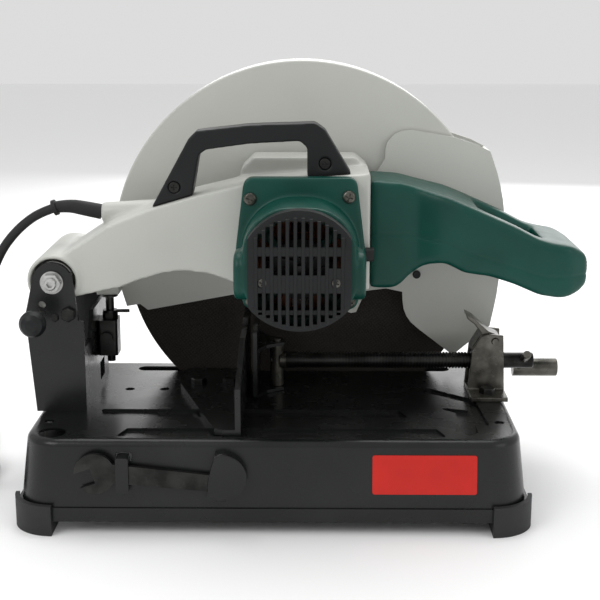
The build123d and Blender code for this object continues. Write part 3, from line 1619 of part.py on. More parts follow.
def make_jaw():
    """The swivelling jaw plate with its foot, on a vertical pin at the end of the screw."""
    pin_x = base_x - 0.2
    with BuildPart() as jaw:
        with BuildSketch(end_plane(jaw_x, 0, 0)):
            with BuildLine():
                Polyline((-8, pan_top_z + 0.5), (72, pan_top_z + 0.5), (72, 150.4), (-8, 150.4), close=True)
            make_face()
            fillet(vertices(), 3)
        extrude(amount=jaw_thickness)
        for z in (pan_top_z + 0.5, pan_top_z + 45.5):
            with BuildSketch(Plane(origin=(base_x, 0, z))):
                with BuildLine():
                    Polyline((-18, -6), (-9.4, 13), (7, 24), (7, 40), (-9.4, 51), (-18, 70), close=True)
                make_face()
                with Locations((-0.2, vise_y)):
                    Circle(4.05, mode=Mode.SUBTRACT)
            extrude(amount=3)
    jaw.part.label = "jaw_plate"
    export_step(jaw.part, "parts/jaw_plate.step")
    with BuildPart() as carrier:
        with BuildSketch(Plane(origin=(pin_x, vise_y, pan_top_z + 4))):
            Circle(jaw_pin_r)
        extrude(amount=41)
        with BuildSketch(Plane(origin=(pin_x, vise_y, pan_top_z + 1))):
            Circle(4)
        extrude(amount=49)
        with BuildSketch(vise_plane(pin_x + 3)):
            Circle(8.5)
        extrude(amount=screw_front_x - 0.4 - pin_x - 3)
        with BuildSketch(vise_plane(screw_front_x - 15)):
            Circle(5.05)
        extrude(amount=16, mode=Mode.SUBTRACT)
    carrier.part.label = "jaw_pin"
    export_step(carrier.part, "parts/jaw_pin.step")


make_base_pan()
make_feet()
make_pivot_bracket()
make_base_bolts()
make_pivot_shaft()
make_pivot_nut()
make_lock_pin()
make_torsion_spring()
make_depth_stop()
make_label_plate()
make_wrench()
make_arm_casting()
make_pivot_bushes()
make_gear_cover()
make_ball_bearings()
make_motor_housing()
make_motor_screws()
make_end_cap()
make_brushes()
make_stator()
make_armature()
make_armature_shaft()
make_spindle()
make_drive_gear()
make_flanges()
make_abrasive_wheel()
make_fixed_guard()
make_guard_cover()
make_swing_guard()
make_handle_shells()
make_switchgear()
make_carry_handle()
make_cord()
make_cord_relief()
make_plug()
make_fence()
make_vise_bracket()
make_half_nut()
make_release_lever()
make_vise_screw()
make_crank()
make_jaw()
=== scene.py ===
"""The looks of an abrasive chop saw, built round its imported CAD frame, in metres."""
import json
from math import cos, pi, radians, sin, sqrt

import bmesh
import bpy
from bpy.props import FloatProperty, FloatVectorProperty, IntProperty, PointerProperty
from mathutils import Matrix, Vector


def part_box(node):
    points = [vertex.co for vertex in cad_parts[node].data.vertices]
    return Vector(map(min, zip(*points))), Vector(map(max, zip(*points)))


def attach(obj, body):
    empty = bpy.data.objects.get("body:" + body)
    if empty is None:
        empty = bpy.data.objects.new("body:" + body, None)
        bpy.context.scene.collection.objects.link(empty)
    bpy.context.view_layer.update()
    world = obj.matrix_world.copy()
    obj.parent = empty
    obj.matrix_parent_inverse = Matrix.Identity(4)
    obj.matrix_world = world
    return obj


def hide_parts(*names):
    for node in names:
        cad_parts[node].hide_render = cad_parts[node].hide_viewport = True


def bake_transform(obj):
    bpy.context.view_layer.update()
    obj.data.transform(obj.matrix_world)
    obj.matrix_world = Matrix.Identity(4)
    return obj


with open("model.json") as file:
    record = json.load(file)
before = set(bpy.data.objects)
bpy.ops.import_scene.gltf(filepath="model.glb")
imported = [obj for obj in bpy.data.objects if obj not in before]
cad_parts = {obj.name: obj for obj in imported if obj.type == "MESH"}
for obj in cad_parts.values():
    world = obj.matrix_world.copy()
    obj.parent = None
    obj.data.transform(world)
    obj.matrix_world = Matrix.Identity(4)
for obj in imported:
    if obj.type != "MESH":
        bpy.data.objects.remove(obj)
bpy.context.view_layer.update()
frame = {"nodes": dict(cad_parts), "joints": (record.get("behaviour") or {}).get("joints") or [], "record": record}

bl_info = {
    "name": "Abrasive Chop Saw",
    "version": (1, 0, 0),
    "blender": (4, 5, 0),
    "location": "View3D > Sidebar > Chop Saw",
    "description": "Dresses the saw's CAD parts and adds the pieces that only show",
    "category": "Object",
}

JOINTS = {joint["name"]: joint for joint in frame["joints"]}
PIVOT = Vector(JOINTS["arm_lift"]["pos_m"])
MOTOR = Vector(JOINTS["armature_spin"]["pos_m"])
MM = 0.001


# ---- settings -------------------------------------------------------------------------
def colour(name, description, value):
    return FloatVectorProperty(
        name=name, description=description, subtype="COLOR", size=3, min=0, max=1, default=value
    )


def length(name, description, value):
    return FloatProperty(
        name=name, description=description, unit="LENGTH", default=value, precision=4
    )


class SawColours(bpy.types.PropertyGroup):
    coat: colour("Powder coat", "Base, brackets and fence", (0.0055, 0.0060, 0.0058))
    paint: colour("Casting paint", "Arm and guards", (0.47, 0.475, 0.44))
    shell: colour("Green shell", "Motor housing and rear handle", (0.0018, 0.050, 0.036))
    dark: colour("Dark plastic", "End cap, carry handle and knobs", (0.0065, 0.0072, 0.0078))
    oxide: colour("Black oxide", "Screws, vise and spanner", (0.020, 0.020, 0.019))
    iron: colour("Cast iron", "Vise bracket, latch and crank", (0.075, 0.072, 0.062))
    bright: colour("Bright steel", "Shafts, washers and flanges", (0.42, 0.42, 0.41))
    rubber: colour("Rubber", "Feet and cord", (0.0085, 0.0085, 0.009))
    disc: colour("Abrasive", "The wheel's grit", (0.034, 0.030, 0.026))
    label: colour("Label", "The plain plate on the base", (0.52, 0.012, 0.006))


class SawSizes(bpy.types.PropertyGroup):
    cord_diameter: length("Cord diameter", "Outside diameter of the supply cord", 0.009)
    voxel: length("Voxel", "Grain of the rounded castings and mouldings", 0.0012)
    turns: IntProperty(
        name="Coil turns", description="Turns of the coil's lower layer", default=3, min=1
    )


# ---- material tools -------------------------------------------------------------------
class Finish:
    """A principled material with helpers that wire detail on object coordinates."""

    def __init__(self, name, base, roughness, metallic=0.0, coat=0.0, specular=0.5):
        self.material = bpy.data.materials.new(name)
        self.material.use_nodes = True
        self.tree = self.material.node_tree
        self.shader = self.tree.nodes["Principled BSDF"]
        self.shader.inputs["Base Color"].default_value = (*base, 1)
        self.shader.inputs["Roughness"].default_value = roughness
        self.shader.inputs["Metallic"].default_value = metallic
        self.shader.inputs["Coat Weight"].default_value = coat
        self.shader.inputs["Specular IOR Level"].default_value = specular
        self.base = base
        self.coords = self.add("ShaderNodeTexCoord")
        self.height = None

    def add(self, kind, **values):
        node = self.tree.nodes.new(kind)
        for name, value in values.items():
            setattr(node, name, value)
        return node

    def link(self, out, into):
        self.tree.links.new(out, into)

    def noise(self, scale, detail=2.0, stretch=(1, 1, 1)):
        mapping = self.add("ShaderNodeMapping")
        mapping.inputs["Scale"].default_value = stretch
        noise = self.add("ShaderNodeTexNoise")
        noise.inputs["Scale"].default_value = scale
        noise.inputs["Detail"].default_value = detail
        self.link(self.coords.outputs["Object"], mapping.inputs["Vector"])
        self.link(mapping.outputs["Vector"], noise.inputs["Vector"])
        return noise.outputs["Fac"]

    def ramp(self, source, low, high, start=0.35, end=0.65):
        ramp = self.add("ShaderNodeValToRGB")
        ramp.color_ramp.elements[0].position = start
        ramp.color_ramp.elements[1].position = end
        ramp.color_ramp.elements[0].color = (*low, 1)
        ramp.color_ramp.elements[1].color = (*high, 1)
        self.link(source, ramp.inputs["Fac"])
        return ramp.outputs["Color"]

    def mix(self, amount, one, two, blend="MIX"):
        mix = self.add("ShaderNodeMix", data_type="RGBA", blend_type=blend)
        self.link(amount, mix.inputs["Factor"])
        for value, slot in ((one, "A"), (two, "B")):
            socket = next(s for s in mix.inputs if s.name == slot and s.type == "RGBA")
            if isinstance(value, tuple):
                socket.default_value = (*value, 1)
            else:
                self.link(value, socket)
        return next(s for s in mix.outputs if s.type == "RGBA")

    def level(self, source, low, high):
        scale = self.add("ShaderNodeMapRange")
        scale.inputs["To Min"].default_value = low
        scale.inputs["To Max"].default_value = high
        self.link(source, scale.inputs["Value"])
        return scale.outputs["Result"]

    def edges(self, start=0.52, end=0.60):
        """High on the convex edges, where a finish wears; the lighter colour mixed in on this mask is partly wear
        and partly a painted highlight.
        """
        geometry = self.add("ShaderNodeNewGeometry")
        return self.ramp(geometry.outputs["Pointiness"], (0, 0, 0), (1, 1, 1), start, end)

    def paint(self, socket):
        self.link(socket, self.shader.inputs["Base Color"])

    def rough(self, socket):
        self.link(socket, self.shader.inputs["Roughness"])

    def bump(self, source, strength, distance=0.0004):
        bump = self.add("ShaderNodeBump")
        bump.inputs["Strength"].default_value = strength
        bump.inputs["Distance"].default_value = distance
        self.link(source, bump.inputs["Height"])
        if self.height is not None:
            self.link(self.height, bump.inputs["Normal"])
        self.height = bump.outputs["Normal"]
        self.link(self.height, self.shader.inputs["Normal"])


def shade(base, factor):
    return tuple(min(1.0, channel * factor) for channel in base)


def powder_coat(base):
    """Satin black powder over steel: fine orange peel, handling marks and a little dust."""
    finish = Finish("powder_coat", base, 0.3, specular=0.34)
    cloud = finish.ramp(finish.noise(14, 4), base, shade(base, 1.9), 0.4, 0.75)
    dust = finish.ramp(finish.noise(320, 5), (0, 0, 0), (1, 1, 1), 0.72, 0.8)
    finish.paint(finish.mix(dust, cloud, shade(base, 3.0)))
    finish.rough(finish.level(finish.noise(26, 5), 0.2, 0.34))
    finish.bump(finish.noise(900, 3), 0.08)
    finish.bump(finish.noise(120, 1), 0.05, 0.0006)
    return finish.material


def casting_paint(base):
    """Warm grey stove paint on a casting, paler on its edges, partly from wear and partly as a painted highlight.
    """
    finish = Finish("casting_paint", base, 0.42, coat=0.08)
    cloud = finish.ramp(finish.noise(9, 4), shade(base, 0.95), shade(base, 1.04))
    # the edges mixed to 1.15 times the base: partly wear, partly a painted highlight
    finish.paint(finish.mix(finish.edges(0.57, 0.72), cloud, shade(base, 1.15)))
    finish.rough(finish.level(finish.noise(60, 5), 0.36, 0.5))
    finish.bump(finish.noise(650, 3), 0.09)
    finish.bump(finish.noise(60, 2), 0.05, 0.0008)
    return finish.material


def guard_paint(base):
    """The same paint on pressed sheet, smoother and a little glossier, painted lighter than on the castings as
    painted light.
    """
    # base lifted by 1.06 and the cloud up to 1.10: painted light, a lit copy of the casting paint
    finish = Finish("guard_paint", shade(base, 1.06), 0.34, coat=0.12)
    cloud = finish.ramp(finish.noise(6, 3), shade(base, 1.0), shade(base, 1.10))
    # the edges mixed to 1.2 times the base: partly wear, partly a painted highlight
    finish.paint(finish.mix(finish.edges(0.57, 0.72), cloud, shade(base, 1.2)))
    finish.rough(finish.level(finish.noise(30, 5), 0.28, 0.4))
    finish.bump(finish.noise(300, 2), 0.05)
    return finish.material


def moulded(name, base, roughness, grain=1400, strength=0.14):
    """Glass-filled nylon with a fine spark-eroded grain."""
    finish = Finish(name, base, roughness, specular=0.26)
    cloud = finish.ramp(finish.noise(18, 3), shade(base, 0.86), shade(base, 1.14))
    # the edges mixed to 1.9 times the base: partly wear, partly a painted highlight
    finish.paint(finish.mix(finish.edges(0.56, 0.7), cloud, shade(base, 1.9)))
    finish.rough(finish.level(finish.noise(80, 4), roughness - 0.06, roughness + 0.08))
    finish.bump(finish.noise(grain, 2), strength, 0.0002)
    return finish.material


def oiled_metal(name, base, roughness):
    """Oiled dark steel or iron: uneven blacking, rub marks and mill lines."""
    finish = Finish(name, base, roughness, metallic=0.8)
    cloud = finish.ramp(finish.noise(60, 5), shade(base, 0.6), shade(base, 1.7))
    rubbed = finish.ramp(finish.noise(210, 6), (0, 0, 0), (1, 1, 1), 0.6, 0.78)
    finish.paint(finish.mix(rubbed, cloud, shade(base, 1.8)))
    finish.rough(finish.level(finish.noise(150, 4), roughness - 0.1, roughness + 0.1))
    finish.bump(finish.noise(500, 3, (1, 1, 4)), 0.10)
    return finish.material


def bright_steel(base):
    """Zinc-plated or ground steel with turning marks."""
    finish = Finish("bright_steel", base, 0.26, metallic=1.0)
    finish.paint(finish.ramp(finish.noise(70, 4), shade(base, 0.8), shade(base, 1.2)))
    finish.rough(finish.level(finish.noise(200, 4), 0.2, 0.38))
    finish.bump(finish.noise(700, 2, (1, 6, 1)), 0.08)
    return finish.material


def soft_rubber(base):
    """Matt black rubber with a fine grain, greyer on its edges, partly from wear and partly as a painted
    highlight.
    """
    finish = Finish("soft_rubber", base, 0.62, specular=0.35)
    cloud = finish.ramp(finish.noise(25, 4), base, shade(base, 1.7))
    # the edges mixed to 2.4 times the base: partly wear, partly a painted highlight
    finish.paint(finish.mix(finish.edges(0.55, 0.7), cloud, shade(base, 2.4)))
    finish.rough(finish.level(finish.noise(90, 4), 0.5, 0.72))
    finish.bump(finish.noise(1100, 3), 0.16, 0.0002)
    return finish.material


def abrasive(base):
    """Resin-bonded grit with the glass cloth's diagonal weave showing through."""
    finish = Finish("abrasive_disc", base, 0.85, specular=0.25)
    weave = None
    for angle in (radians(38), radians(-52)):
        mapping = finish.add("ShaderNodeMapping")
        mapping.inputs["Rotation"].default_value = (0, angle, 0)
        wave = finish.add("ShaderNodeTexWave", bands_direction="X")
        wave.inputs["Scale"].default_value = 115
        wave.inputs["Distortion"].default_value = 0.6
        wave.inputs["Detail"].default_value = 1.0
        finish.link(finish.coords.outputs["Object"], mapping.inputs["Vector"])
        finish.link(mapping.outputs["Vector"], wave.inputs["Vector"])
        if weave is None:
            weave = wave.outputs["Fac"]
        else:
            both = finish.add("ShaderNodeMath", operation="MULTIPLY")
            finish.link(weave, both.inputs[0])
            finish.link(wave.outputs["Fac"], both.inputs[1])
            weave = both.outputs["Value"]
    grit = finish.ramp(finish.noise(900, 4), shade(base, 0.55), shade(base, 1.9), 0.3, 0.7)
    thread = finish.ramp(weave, shade(base, 0.75), shade(base, 1.7), 0.1, 0.9)
    finish.paint(finish.mix(finish.noise(600, 3), grit, thread))
    finish.bump(finish.noise(1200, 4), 0.5, 0.0003)
    finish.bump(weave, 0.35, 0.0003)
    return finish.material


def gloss_label(base):
    """A plain printed plate under a gloss film."""
    finish = Finish("gloss_label", base, 0.3, specular=0.3)
    finish.paint(finish.ramp(finish.noise(30, 3), shade(base, 0.93), shade(base, 1.05)))
    finish.rough(finish.level(finish.noise(120, 4), 0.18, 0.3))
    finish.bump(finish.noise(220, 2), 0.03)
    return finish.material


def copper_wire(base):
    """Enamelled copper windings with their strands in the bump."""
    finish = Finish("copper_wire", base, 0.34, metallic=0.9)
    finish.paint(finish.ramp(finish.noise(120, 4), shade(base, 0.5), shade(base, 1.4)))
    finish.rough(finish.level(finish.noise(160, 3), 0.25, 0.45))
    finish.bump(finish.noise(400, 2, (1, 1, 8)), 0.3)
    return finish.material


def make_finishes():
    colours = bpy.context.scene.saw_colours
    rows = {
        "black_coat": powder_coat(colours.coat),
        "grey_paint": casting_paint(colours.paint),
        "guard_paint": guard_paint(colours.paint),
        "green_plastic": moulded("green_shell", colours.shell, 0.36),
        "dark_plastic": moulded("dark_moulding", colours.dark, 0.42),
        "black_steel": oiled_metal("black_oxide", colours.oxide, 0.34),
        "gunmetal": oiled_metal("gunmetal", colours.iron, 0.3),
        "steel": bright_steel(colours.bright),
        "rubber": soft_rubber(colours.rubber),
        "abrasive": abrasive(colours.disc),
        "red_label": gloss_label(colours.label),
        "copper": copper_wire((0.10, 0.040, 0.022)),
        "carbon": moulded("carbon_block", (0.012, 0.012, 0.013), 0.5),
    }
    for name, material in rows.items():
        material["saw_finish"] = name
    return rows


def finish(name):
    return next(m for m in bpy.data.materials if m.get("saw_finish") == name)


# ---- mesh tools -----------------------------------------------------------------------
def new_piece(name, mesh_or_bmesh, material, body=None):
    """Links a piece with its finish and hangs it on its body, where it has one."""
    if isinstance(mesh_or_bmesh, bmesh.types.BMesh):
        mesh = bpy.data.meshes.new(name)
        mesh_or_bmesh.to_mesh(mesh)
        mesh_or_bmesh.free()
    else:
        mesh = mesh_or_bmesh
    piece = bpy.data.objects.new(name, mesh)
    bpy.context.scene.collection.objects.link(piece)
    piece.data.materials.clear()
    piece.data.materials.append(finish(material))
    if body:
        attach(piece, body)
    return piece


def smooth_by_angle(mesh, degrees_limit):
    """Smooth shading that keeps the edges sharper than the limit."""
    mesh.shade_smooth()
    mesh.set_sharp_from_angle(angle=radians(degrees_limit))


def apply_modifiers(piece):
    """Bakes a piece's modifiers into its mesh."""
    graph = bpy.context.evaluated_depsgraph_get()
    mesh = bpy.data.meshes.new_from_object(piece.evaluated_get(graph))
    piece.modifiers.clear()
    old = piece.data
    piece.data = mesh
    bpy.data.meshes.remove(old)


def merged_copy(nodes):
    """One bmesh of copies of CAD nodes, with their doubled points merged."""
    bm = bmesh.new()
    for node in nodes:
        bm.from_mesh(frame["nodes"][node].data)
    bmesh.ops.remove_doubles(bm, verts=bm.verts, dist=1e-6)
    return bm


def soften(piece, voxel, passes):
    """Rounds every edge of a closed piece, as a casting's or moulding's is."""
    remesh = piece.modifiers.new("Voxels", "REMESH")
    remesh.mode = "VOXEL"
    remesh.voxel_size = voxel
    smooth = piece.modifiers.new("Rounded", "SMOOTH")
    smooth.factor = 0.5
    smooth.iterations = passes
    apply_modifiers(piece)
    piece.data.shade_smooth()


def softened_copy(name, nodes, material, body, voxel, passes):
    """Stands for closed CAD nodes, with their edges rounded."""
    piece = new_piece(name, merged_copy(nodes), material, body)
    soften(piece, voxel, passes)
    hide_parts(*nodes)
    return piece


def bead(name, line, radius, material, body, closed=False, radii=None):
    """A round bead laid along a line, with its own radius at each point where that is given."""
    curve = bpy.data.curves.new(name, "CURVE")
    curve.dimensions = "3D"
    spline = curve.splines.new("NURBS")
    spline.points.add(len(line) - 1)
    for n, point in enumerate(line):
        spline.points[n].co = (*point, 1)
        spline.points[n].radius = radii[n] if radii else 1
    spline.order_u = 3 if len(line) > 2 else 2
    spline.use_endpoint_u = not closed
    spline.use_cyclic_u = closed
    spline.resolution_u = 8
    curve.bevel_depth = radius
    curve.bevel_resolution = 6
    curve.use_fill_caps = not closed
    shape = bpy.data.objects.new(name + "_line", curve)
    bpy.context.scene.collection.objects.link(shape)
    bpy.context.view_layer.update()
    graph = bpy.context.evaluated_depsgraph_get()
    mesh = bpy.data.meshes.new_from_object(shape.evaluated_get(graph))
    bpy.data.objects.remove(shape)
    bm = bmesh.new()
    bm.from_mesh(mesh)
    bmesh.ops.remove_doubles(bm, verts=bm.verts, dist=1e-6)
    bmesh.ops.recalc_face_normals(bm, faces=bm.faces)
    piece = new_piece(name, bm, material, body)
    smooth_by_angle(piece.data, 45)
    return piece


# ---- CAD nodes that keep their shape --------------------------------------------------
class SAW_OT_dress_nodes(bpy.types.Operator):
    """Gives each CAD node its finish"""

    bl_idname = "saw.dress_nodes"
    bl_label = "Dress the CAD parts"

    def execute(self, context):
        make_finishes()
        rows = {row["node"]: row["material_slot"] for row in frame["record"]["subparts"]}
        looks = {
            "fixed_guard": "guard_paint",
            "guard_rear_cover": "guard_paint",
            "swing_guard": "guard_paint",
            "crank_rod": "gunmetal",
            "crank_grip": "gunmetal",
            "jaw_pin": "gunmetal",
            "lever_pin": "gunmetal",
            "armature_shaft": "black_steel",
            "commutator": "black_steel",
        }
        for name, node in frame["nodes"].items():
            material = looks.get(name, rows[name])
            node.data.materials.clear()
            node.data.materials.append(finish(material))
        return {"FINISHED"}


# ---- cord -----------------------------------------------------------------------------
CORD_ROUTE = [
    (-0.2415, 0.020, 0.2623),
    (-0.254, 0.020, 0.2579),
    (-0.2675, 0.020, 0.2493),
    (-0.281, 0.020, 0.2368),
    (-0.293, 0.020, 0.221),
    (-0.3015, 0.016, 0.201),
    (-0.306, 0.006, 0.181),
    (-0.308, -0.008, 0.163),
    (-0.3085, -0.024, 0.143),
    (-0.308, -0.038, 0.121),
    (-0.3075, -0.049, 0.098),
    (-0.307, -0.0545, 0.074),
    (-0.307, -0.055, 0.0486),
    (-0.307, -0.0466, 0.0283),
    (-0.307, -0.0312, 0.0129),
    (-0.307, -0.0109, 0.0045),
    (-0.307, 0.008, 0.0045),
]
COIL_MIDDLE = (-0.366, 0.008)
COIL_OUTER = 0.059
COIL_INNER = 0.041
COIL_STEPS = 14
COIL_RISE = 0.9
COIL_LAST_PART = 1 / 6


def coil_points(diameter, turns):
    """The coil: the lower layer winds inwards, the upper one outwards to the plug."""
    points = []
    low, high = diameter / 2, diameter * 1.5
    steps = COIL_STEPS * turns
    for n in range(1, steps + 1):
        share = n / steps
        radius = COIL_OUTER + (COIL_INNER - COIL_OUTER) * share
        angle = 2 * pi * turns * share
        rise = max(0, share - COIL_RISE) / (1 - COIL_RISE)
        points.append((radius, angle, low + (high - low) * rise))
    upper_turns = turns - 1 + COIL_LAST_PART
    steps = int(COIL_STEPS * upper_turns)
    for n in range(1, steps + 1):
        share = n / steps
        radius = COIL_INNER + (COIL_OUTER - COIL_INNER) * share
        angle = 2 * pi * (turns + upper_turns * share)
        points.append((radius, angle, high))
    x, y = COIL_MIDDLE
    return [(x + r * cos(a), y + r * sin(a), z) for r, a, z in points]


class SAW_OT_cord(bpy.types.Operator):
    """Lays the supply cord: down from its relief and into a coil beside the saw"""

    bl_idname = "saw.cord"
    bl_label = "Cord"

    def execute(self, context):
        sizes = context.scene.saw_sizes
        points = CORD_ROUTE + coil_points(sizes.cord_diameter, sizes.turns)
        curve = bpy.data.curves.new("supply_line", "CURVE")
        curve.dimensions = "3D"
        spline = curve.splines.new("NURBS")
        spline.points.add(len(points) - 1)
        for point, place in zip(spline.points, points):
            point.co = (*place, 1)
        spline.order_u = 3
        spline.use_endpoint_u = True
        spline.resolution_u = 6
        line = bpy.data.objects.new("supply_line", curve)
        context.scene.collection.objects.link(line)
        context.view_layer.update()
        path = [v.co.copy() for v in bpy.data.meshes.new_from_object(line).vertices]
        curve.bevel_depth = sizes.cord_diameter / 2
        curve.bevel_resolution = 3
        curve.use_fill_caps = True
        context.view_layer.update()
        graph = context.evaluated_depsgraph_get()
        tube = bpy.data.meshes.new_from_object(line.evaluated_get(graph))
        bpy.data.objects.remove(line)
        cord = new_piece("supply_cord", tube, "rubber")
        smooth_by_angle(cord.data, 60)
        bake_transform(cord)
        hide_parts("cord_lead", "cord_coil")
        return {"FINISHED"}


# ---- handle ---------------------------------------------------------------------------
HANDLE_ROOT = 0.288
HANDLE_SKIN = 0.0012
HANDLE_TOP = [
    (HANDLE_ROOT, 0.0896),
    (0.316, 0.0873),
    (0.360, 0.0751),
    (0.393, 0.0607),
    (0.419, 0.0491),
    (0.439, 0.0385),
    (0.452, 0.0349),
    (0.470, 0.0320),
    (0.483, 0.0240),
    (0.489, 0.0100),
]
HANDLE_UNDER = [
    (0.486, -0.0020),
    (0.478, -0.0090),
    (0.469, -0.0124),
    (0.460, -0.0138),
    (0.442, -0.0110),
    (0.419, -0.0009),
    (0.396, 0.0064),
    (0.374, 0.0092),
    (0.356, 0.0175),
    (0.338, 0.0138),
    (0.326, 0.0054),
    (0.3155, -0.0057),
    (0.309, -0.0090),
    (HANDLE_ROOT, -0.0090),
]
HANDLE_PLAN = [
    (0.288, -0.0230),
    (0.330, -0.0250),
    (0.352, -0.0350),
    (0.376, -0.0430),
    (0.468, -0.0430),
    (0.486, -0.0310),
    (0.491, 0.0140),
    (0.486, 0.0570),
    (0.468, 0.0700),
    (0.376, 0.0700),
    (0.352, 0.0610),
    (0.330, 0.0550),
    (0.288, 0.0530),
]
GRIP_ROOM = ((0.389, -0.017), (0.446, 0.045))
SEAM = [
    (0.0, 0.041),
    (0.324, 0.041),
    (0.360, 0.034),
    (0.374, 0.0284),
    (0.405, 0.0184),
    (0.446, 0.005),
    (0.6, 0.007),
]
SEAM_HALF_WIDTH = 0.0013
SEAM_DEPTH = 0.0009
HANDLE_VOXEL = 0.0016
HANDLE_PASSES = 60


def grown(outline, by):
    """A clockwise outline moved outwards at each point, along the mean of its sides' normals."""
    points = [Vector(point) for point in outline]
    out = []
    for n, here in enumerate(points):
        before = (here - points[n - 1]).normalized()
        after = (points[(n + 1) % len(points)] - here).normalized()
        way = (before + after).normalized()
        out.append((max(HANDLE_ROOT, here.x - way.y * by), here.y + way.x * by))
    return out


def seam_height(x):
    """The height of the joint between the handle's two shells, from the pivot."""
    for (x0, z0), (x1, z1) in zip(SEAM, SEAM[1:]):
        if x0 <= x <= x1:
            return z0 + (z1 - z0) * (x - x0) / (x1 - x0)
    return SEAM[-1][1]


def prism(outline, way):
    """A bmesh of an outline drawn out along a vector."""
    bm = bmesh.new()
    face = bm.faces.new([bm.verts.new(point) for point in outline])
    top = bmesh.ops.extrude_face_region(bm, geom=[face])["geom"]
    bmesh.ops.translate(bm, vec=way, verts=[v for v in top if isinstance(v, bmesh.types.BMVert)])
    bmesh.ops.recalc_face_normals(bm, faces=bm.faces)
    return bm


def cutter(name, bm):
    """A working object, out of the finished scene once its boolean is applied."""
    mesh = bpy.data.meshes.new(name)
    bm.to_mesh(mesh)
    bm.free()
    tool = bpy.data.objects.new(name, mesh)
    bpy.context.scene.collection.objects.link(tool)
    return tool


def combine(piece, tool, operation):
    """Cuts or meets a piece with a tool and takes the tool away."""
    boolean = piece.modifiers.new(operation, "BOOLEAN")
    boolean.object = tool
    boolean.operation = operation
    boolean.solver = "EXACT"
    apply_modifiers(piece)
    mesh = tool.data
    bpy.data.objects.remove(tool)
    bpy.data.meshes.remove(mesh)


class SAW_OT_rear_handle(bpy.types.Operator):
    """Moulds the rear handle with rounded edges and the seam between its shells"""

    bl_idname = "saw.rear_handle"
    bl_label = "Rear handle"

    def execute(self, context):
        outline = grown(HANDLE_TOP + HANDLE_UNDER, HANDLE_SKIN)
        side = [(PIVOT.x + x, -0.06, PIVOT.z + z) for x, z in outline]
        plan = [(PIVOT.x + x, y, PIVOT.z - 0.05) for x, y in HANDLE_PLAN]
        (x0, y0), (x1, y1) = GRIP_ROOM
        corners = ((x0, y0), (x1, y0), (x1, y1), (x0, y1))
        hole = [(PIVOT.x + x, y, PIVOT.z - 0.06) for x, y in corners]
        shell = new_piece("rear_handle", prism(side, (0, 0.15, 0)), "green_plastic", "arm")
        combine(shell, cutter("handle_plan", prism(plan, (0, 0, 0.2))), "INTERSECT")
        combine(shell, cutter("grip_room", prism(hole, (0, 0, 0.22))), "DIFFERENCE")
        soften(shell, HANDLE_VOXEL, HANDLE_PASSES)
        for vertex in shell.data.vertices:
            offset = abs(vertex.co.z - PIVOT.z - seam_height(vertex.co.x - PIVOT.x))
            if offset < SEAM_HALF_WIDTH:
                vertex.co -= vertex.normal * SEAM_DEPTH * (1 - offset / SEAM_HALF_WIDTH)
        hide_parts("handle_upper_shell", "handle_lower_shell")
        return {"FINISHED"}


# ---- castings and mouldings with rounded edges ----------------------------------------
class SAW_OT_castings(bpy.types.Operator):
    """Rounds the edges of the castings and mouldings"""

    bl_idname = "saw.castings"
    bl_label = "Rounded castings"

    def execute(self, context):
        voxel = context.scene.saw_sizes.voxel
        softened_copy("arm_body", ["arm_casting"], "grey_paint", "arm", voxel * 1.5, 7)
        softened_copy("gear_cover", ["gear_case_cover"], "grey_paint", "arm", voxel, 5)
        softened_copy("motor_shell", ["motor_housing"], "green_plastic", "arm", voxel, 7)
        softened_copy("top_handle", ["carry_handle"], "dark_plastic", "arm", voxel, 14)
        softened_copy("latch_lever", ["release_lever"], "gunmetal", "lever", voxel / 2, 10)
        softened_copy("latch_bracket", ["vise_bracket"], "gunmetal", "base", voxel / 2, 3)
        return {"FINISHED"}


# ---- fittings -------------------------------------------------------------------------
MOTOR_SCREWS = [(-0.0446, 0.0509), (0.0431, 0.0528), (-0.044, -0.042), (0.044, -0.042)]
CAP_SCREWS = [(-0.031, -0.008), (0.031, -0.008)]
RIB_PITCH = 0.0066
RIB_REACH = 0.0475
RIBS_PER_SIDE = 6
RIB_DEPTH = 0.0014
SCREW_SIDES = 28
CROSS_TURNS = (radians(20), radians(110))
FLANGE_BACK = 0.014
POCKET_LIP = [(-57, 33), (-49, 73.8), (-40, 73.8), (-28, 68), (-21.8, 53), (-28, 38.5), (-40, 33)]
LIP_RADIUS = 0.0013
LIP_STAND_OFF = 0.0012
RELIEF_RADII = (0.0073, 0.0072, 0.0062, 0.0056)
RELIEF_RING_RADIUS = 0.0075
RELIEF_RING_LENGTH = 0.0035
RELIEF_ROOT_Z = 0.0545


def screw_head(x, z, y, radius, height):
    """A domed cross-head screw whose head stands out along -Y."""
    bm = bmesh.new()
    disc = bmesh.ops.create_circle(bm, cap_ends=True, segments=SCREW_SIDES, radius=radius)
    top = bmesh.ops.extrude_face_region(bm, geom=bm.faces[:])["geom"]
    cap = [v for v in top if isinstance(v, bmesh.types.BMVert)]
    bmesh.ops.translate(bm, vec=(0, 0, height), verts=cap)
    rim = [e for e in bm.edges if all(v in cap for v in e.verts)]
    bmesh.ops.bevel(
        bm, geom=rim, offset=height * 0.6, segments=4, profile=0.5, affect="EDGES", material=-1
    )
    bmesh.ops.recalc_face_normals(bm, faces=bm.faces)
    bmesh.ops.rotate(bm, matrix=Matrix.Rotation(radians(90), 3, "X"), verts=bm.verts)
    bmesh.ops.translate(bm, vec=(x, y, z), verts=bm.verts)
    return bm


def cross_recess(turn, x, z, y, radius, height):
    """The tool that sinks one bar of the cross into a screw's head."""
    bm = bmesh.new()
    bmesh.ops.create_cube(bm, size=1)
    bmesh.ops.scale(bm, vec=(radius * 1.25, height * 1.4, radius * 0.24), verts=bm.verts)
    bmesh.ops.rotate(bm, matrix=Matrix.Rotation(turn, 3, "Y"), verts=bm.verts)
    bmesh.ops.translate(bm, vec=(x, y - height, z), verts=bm.verts)
    return bm


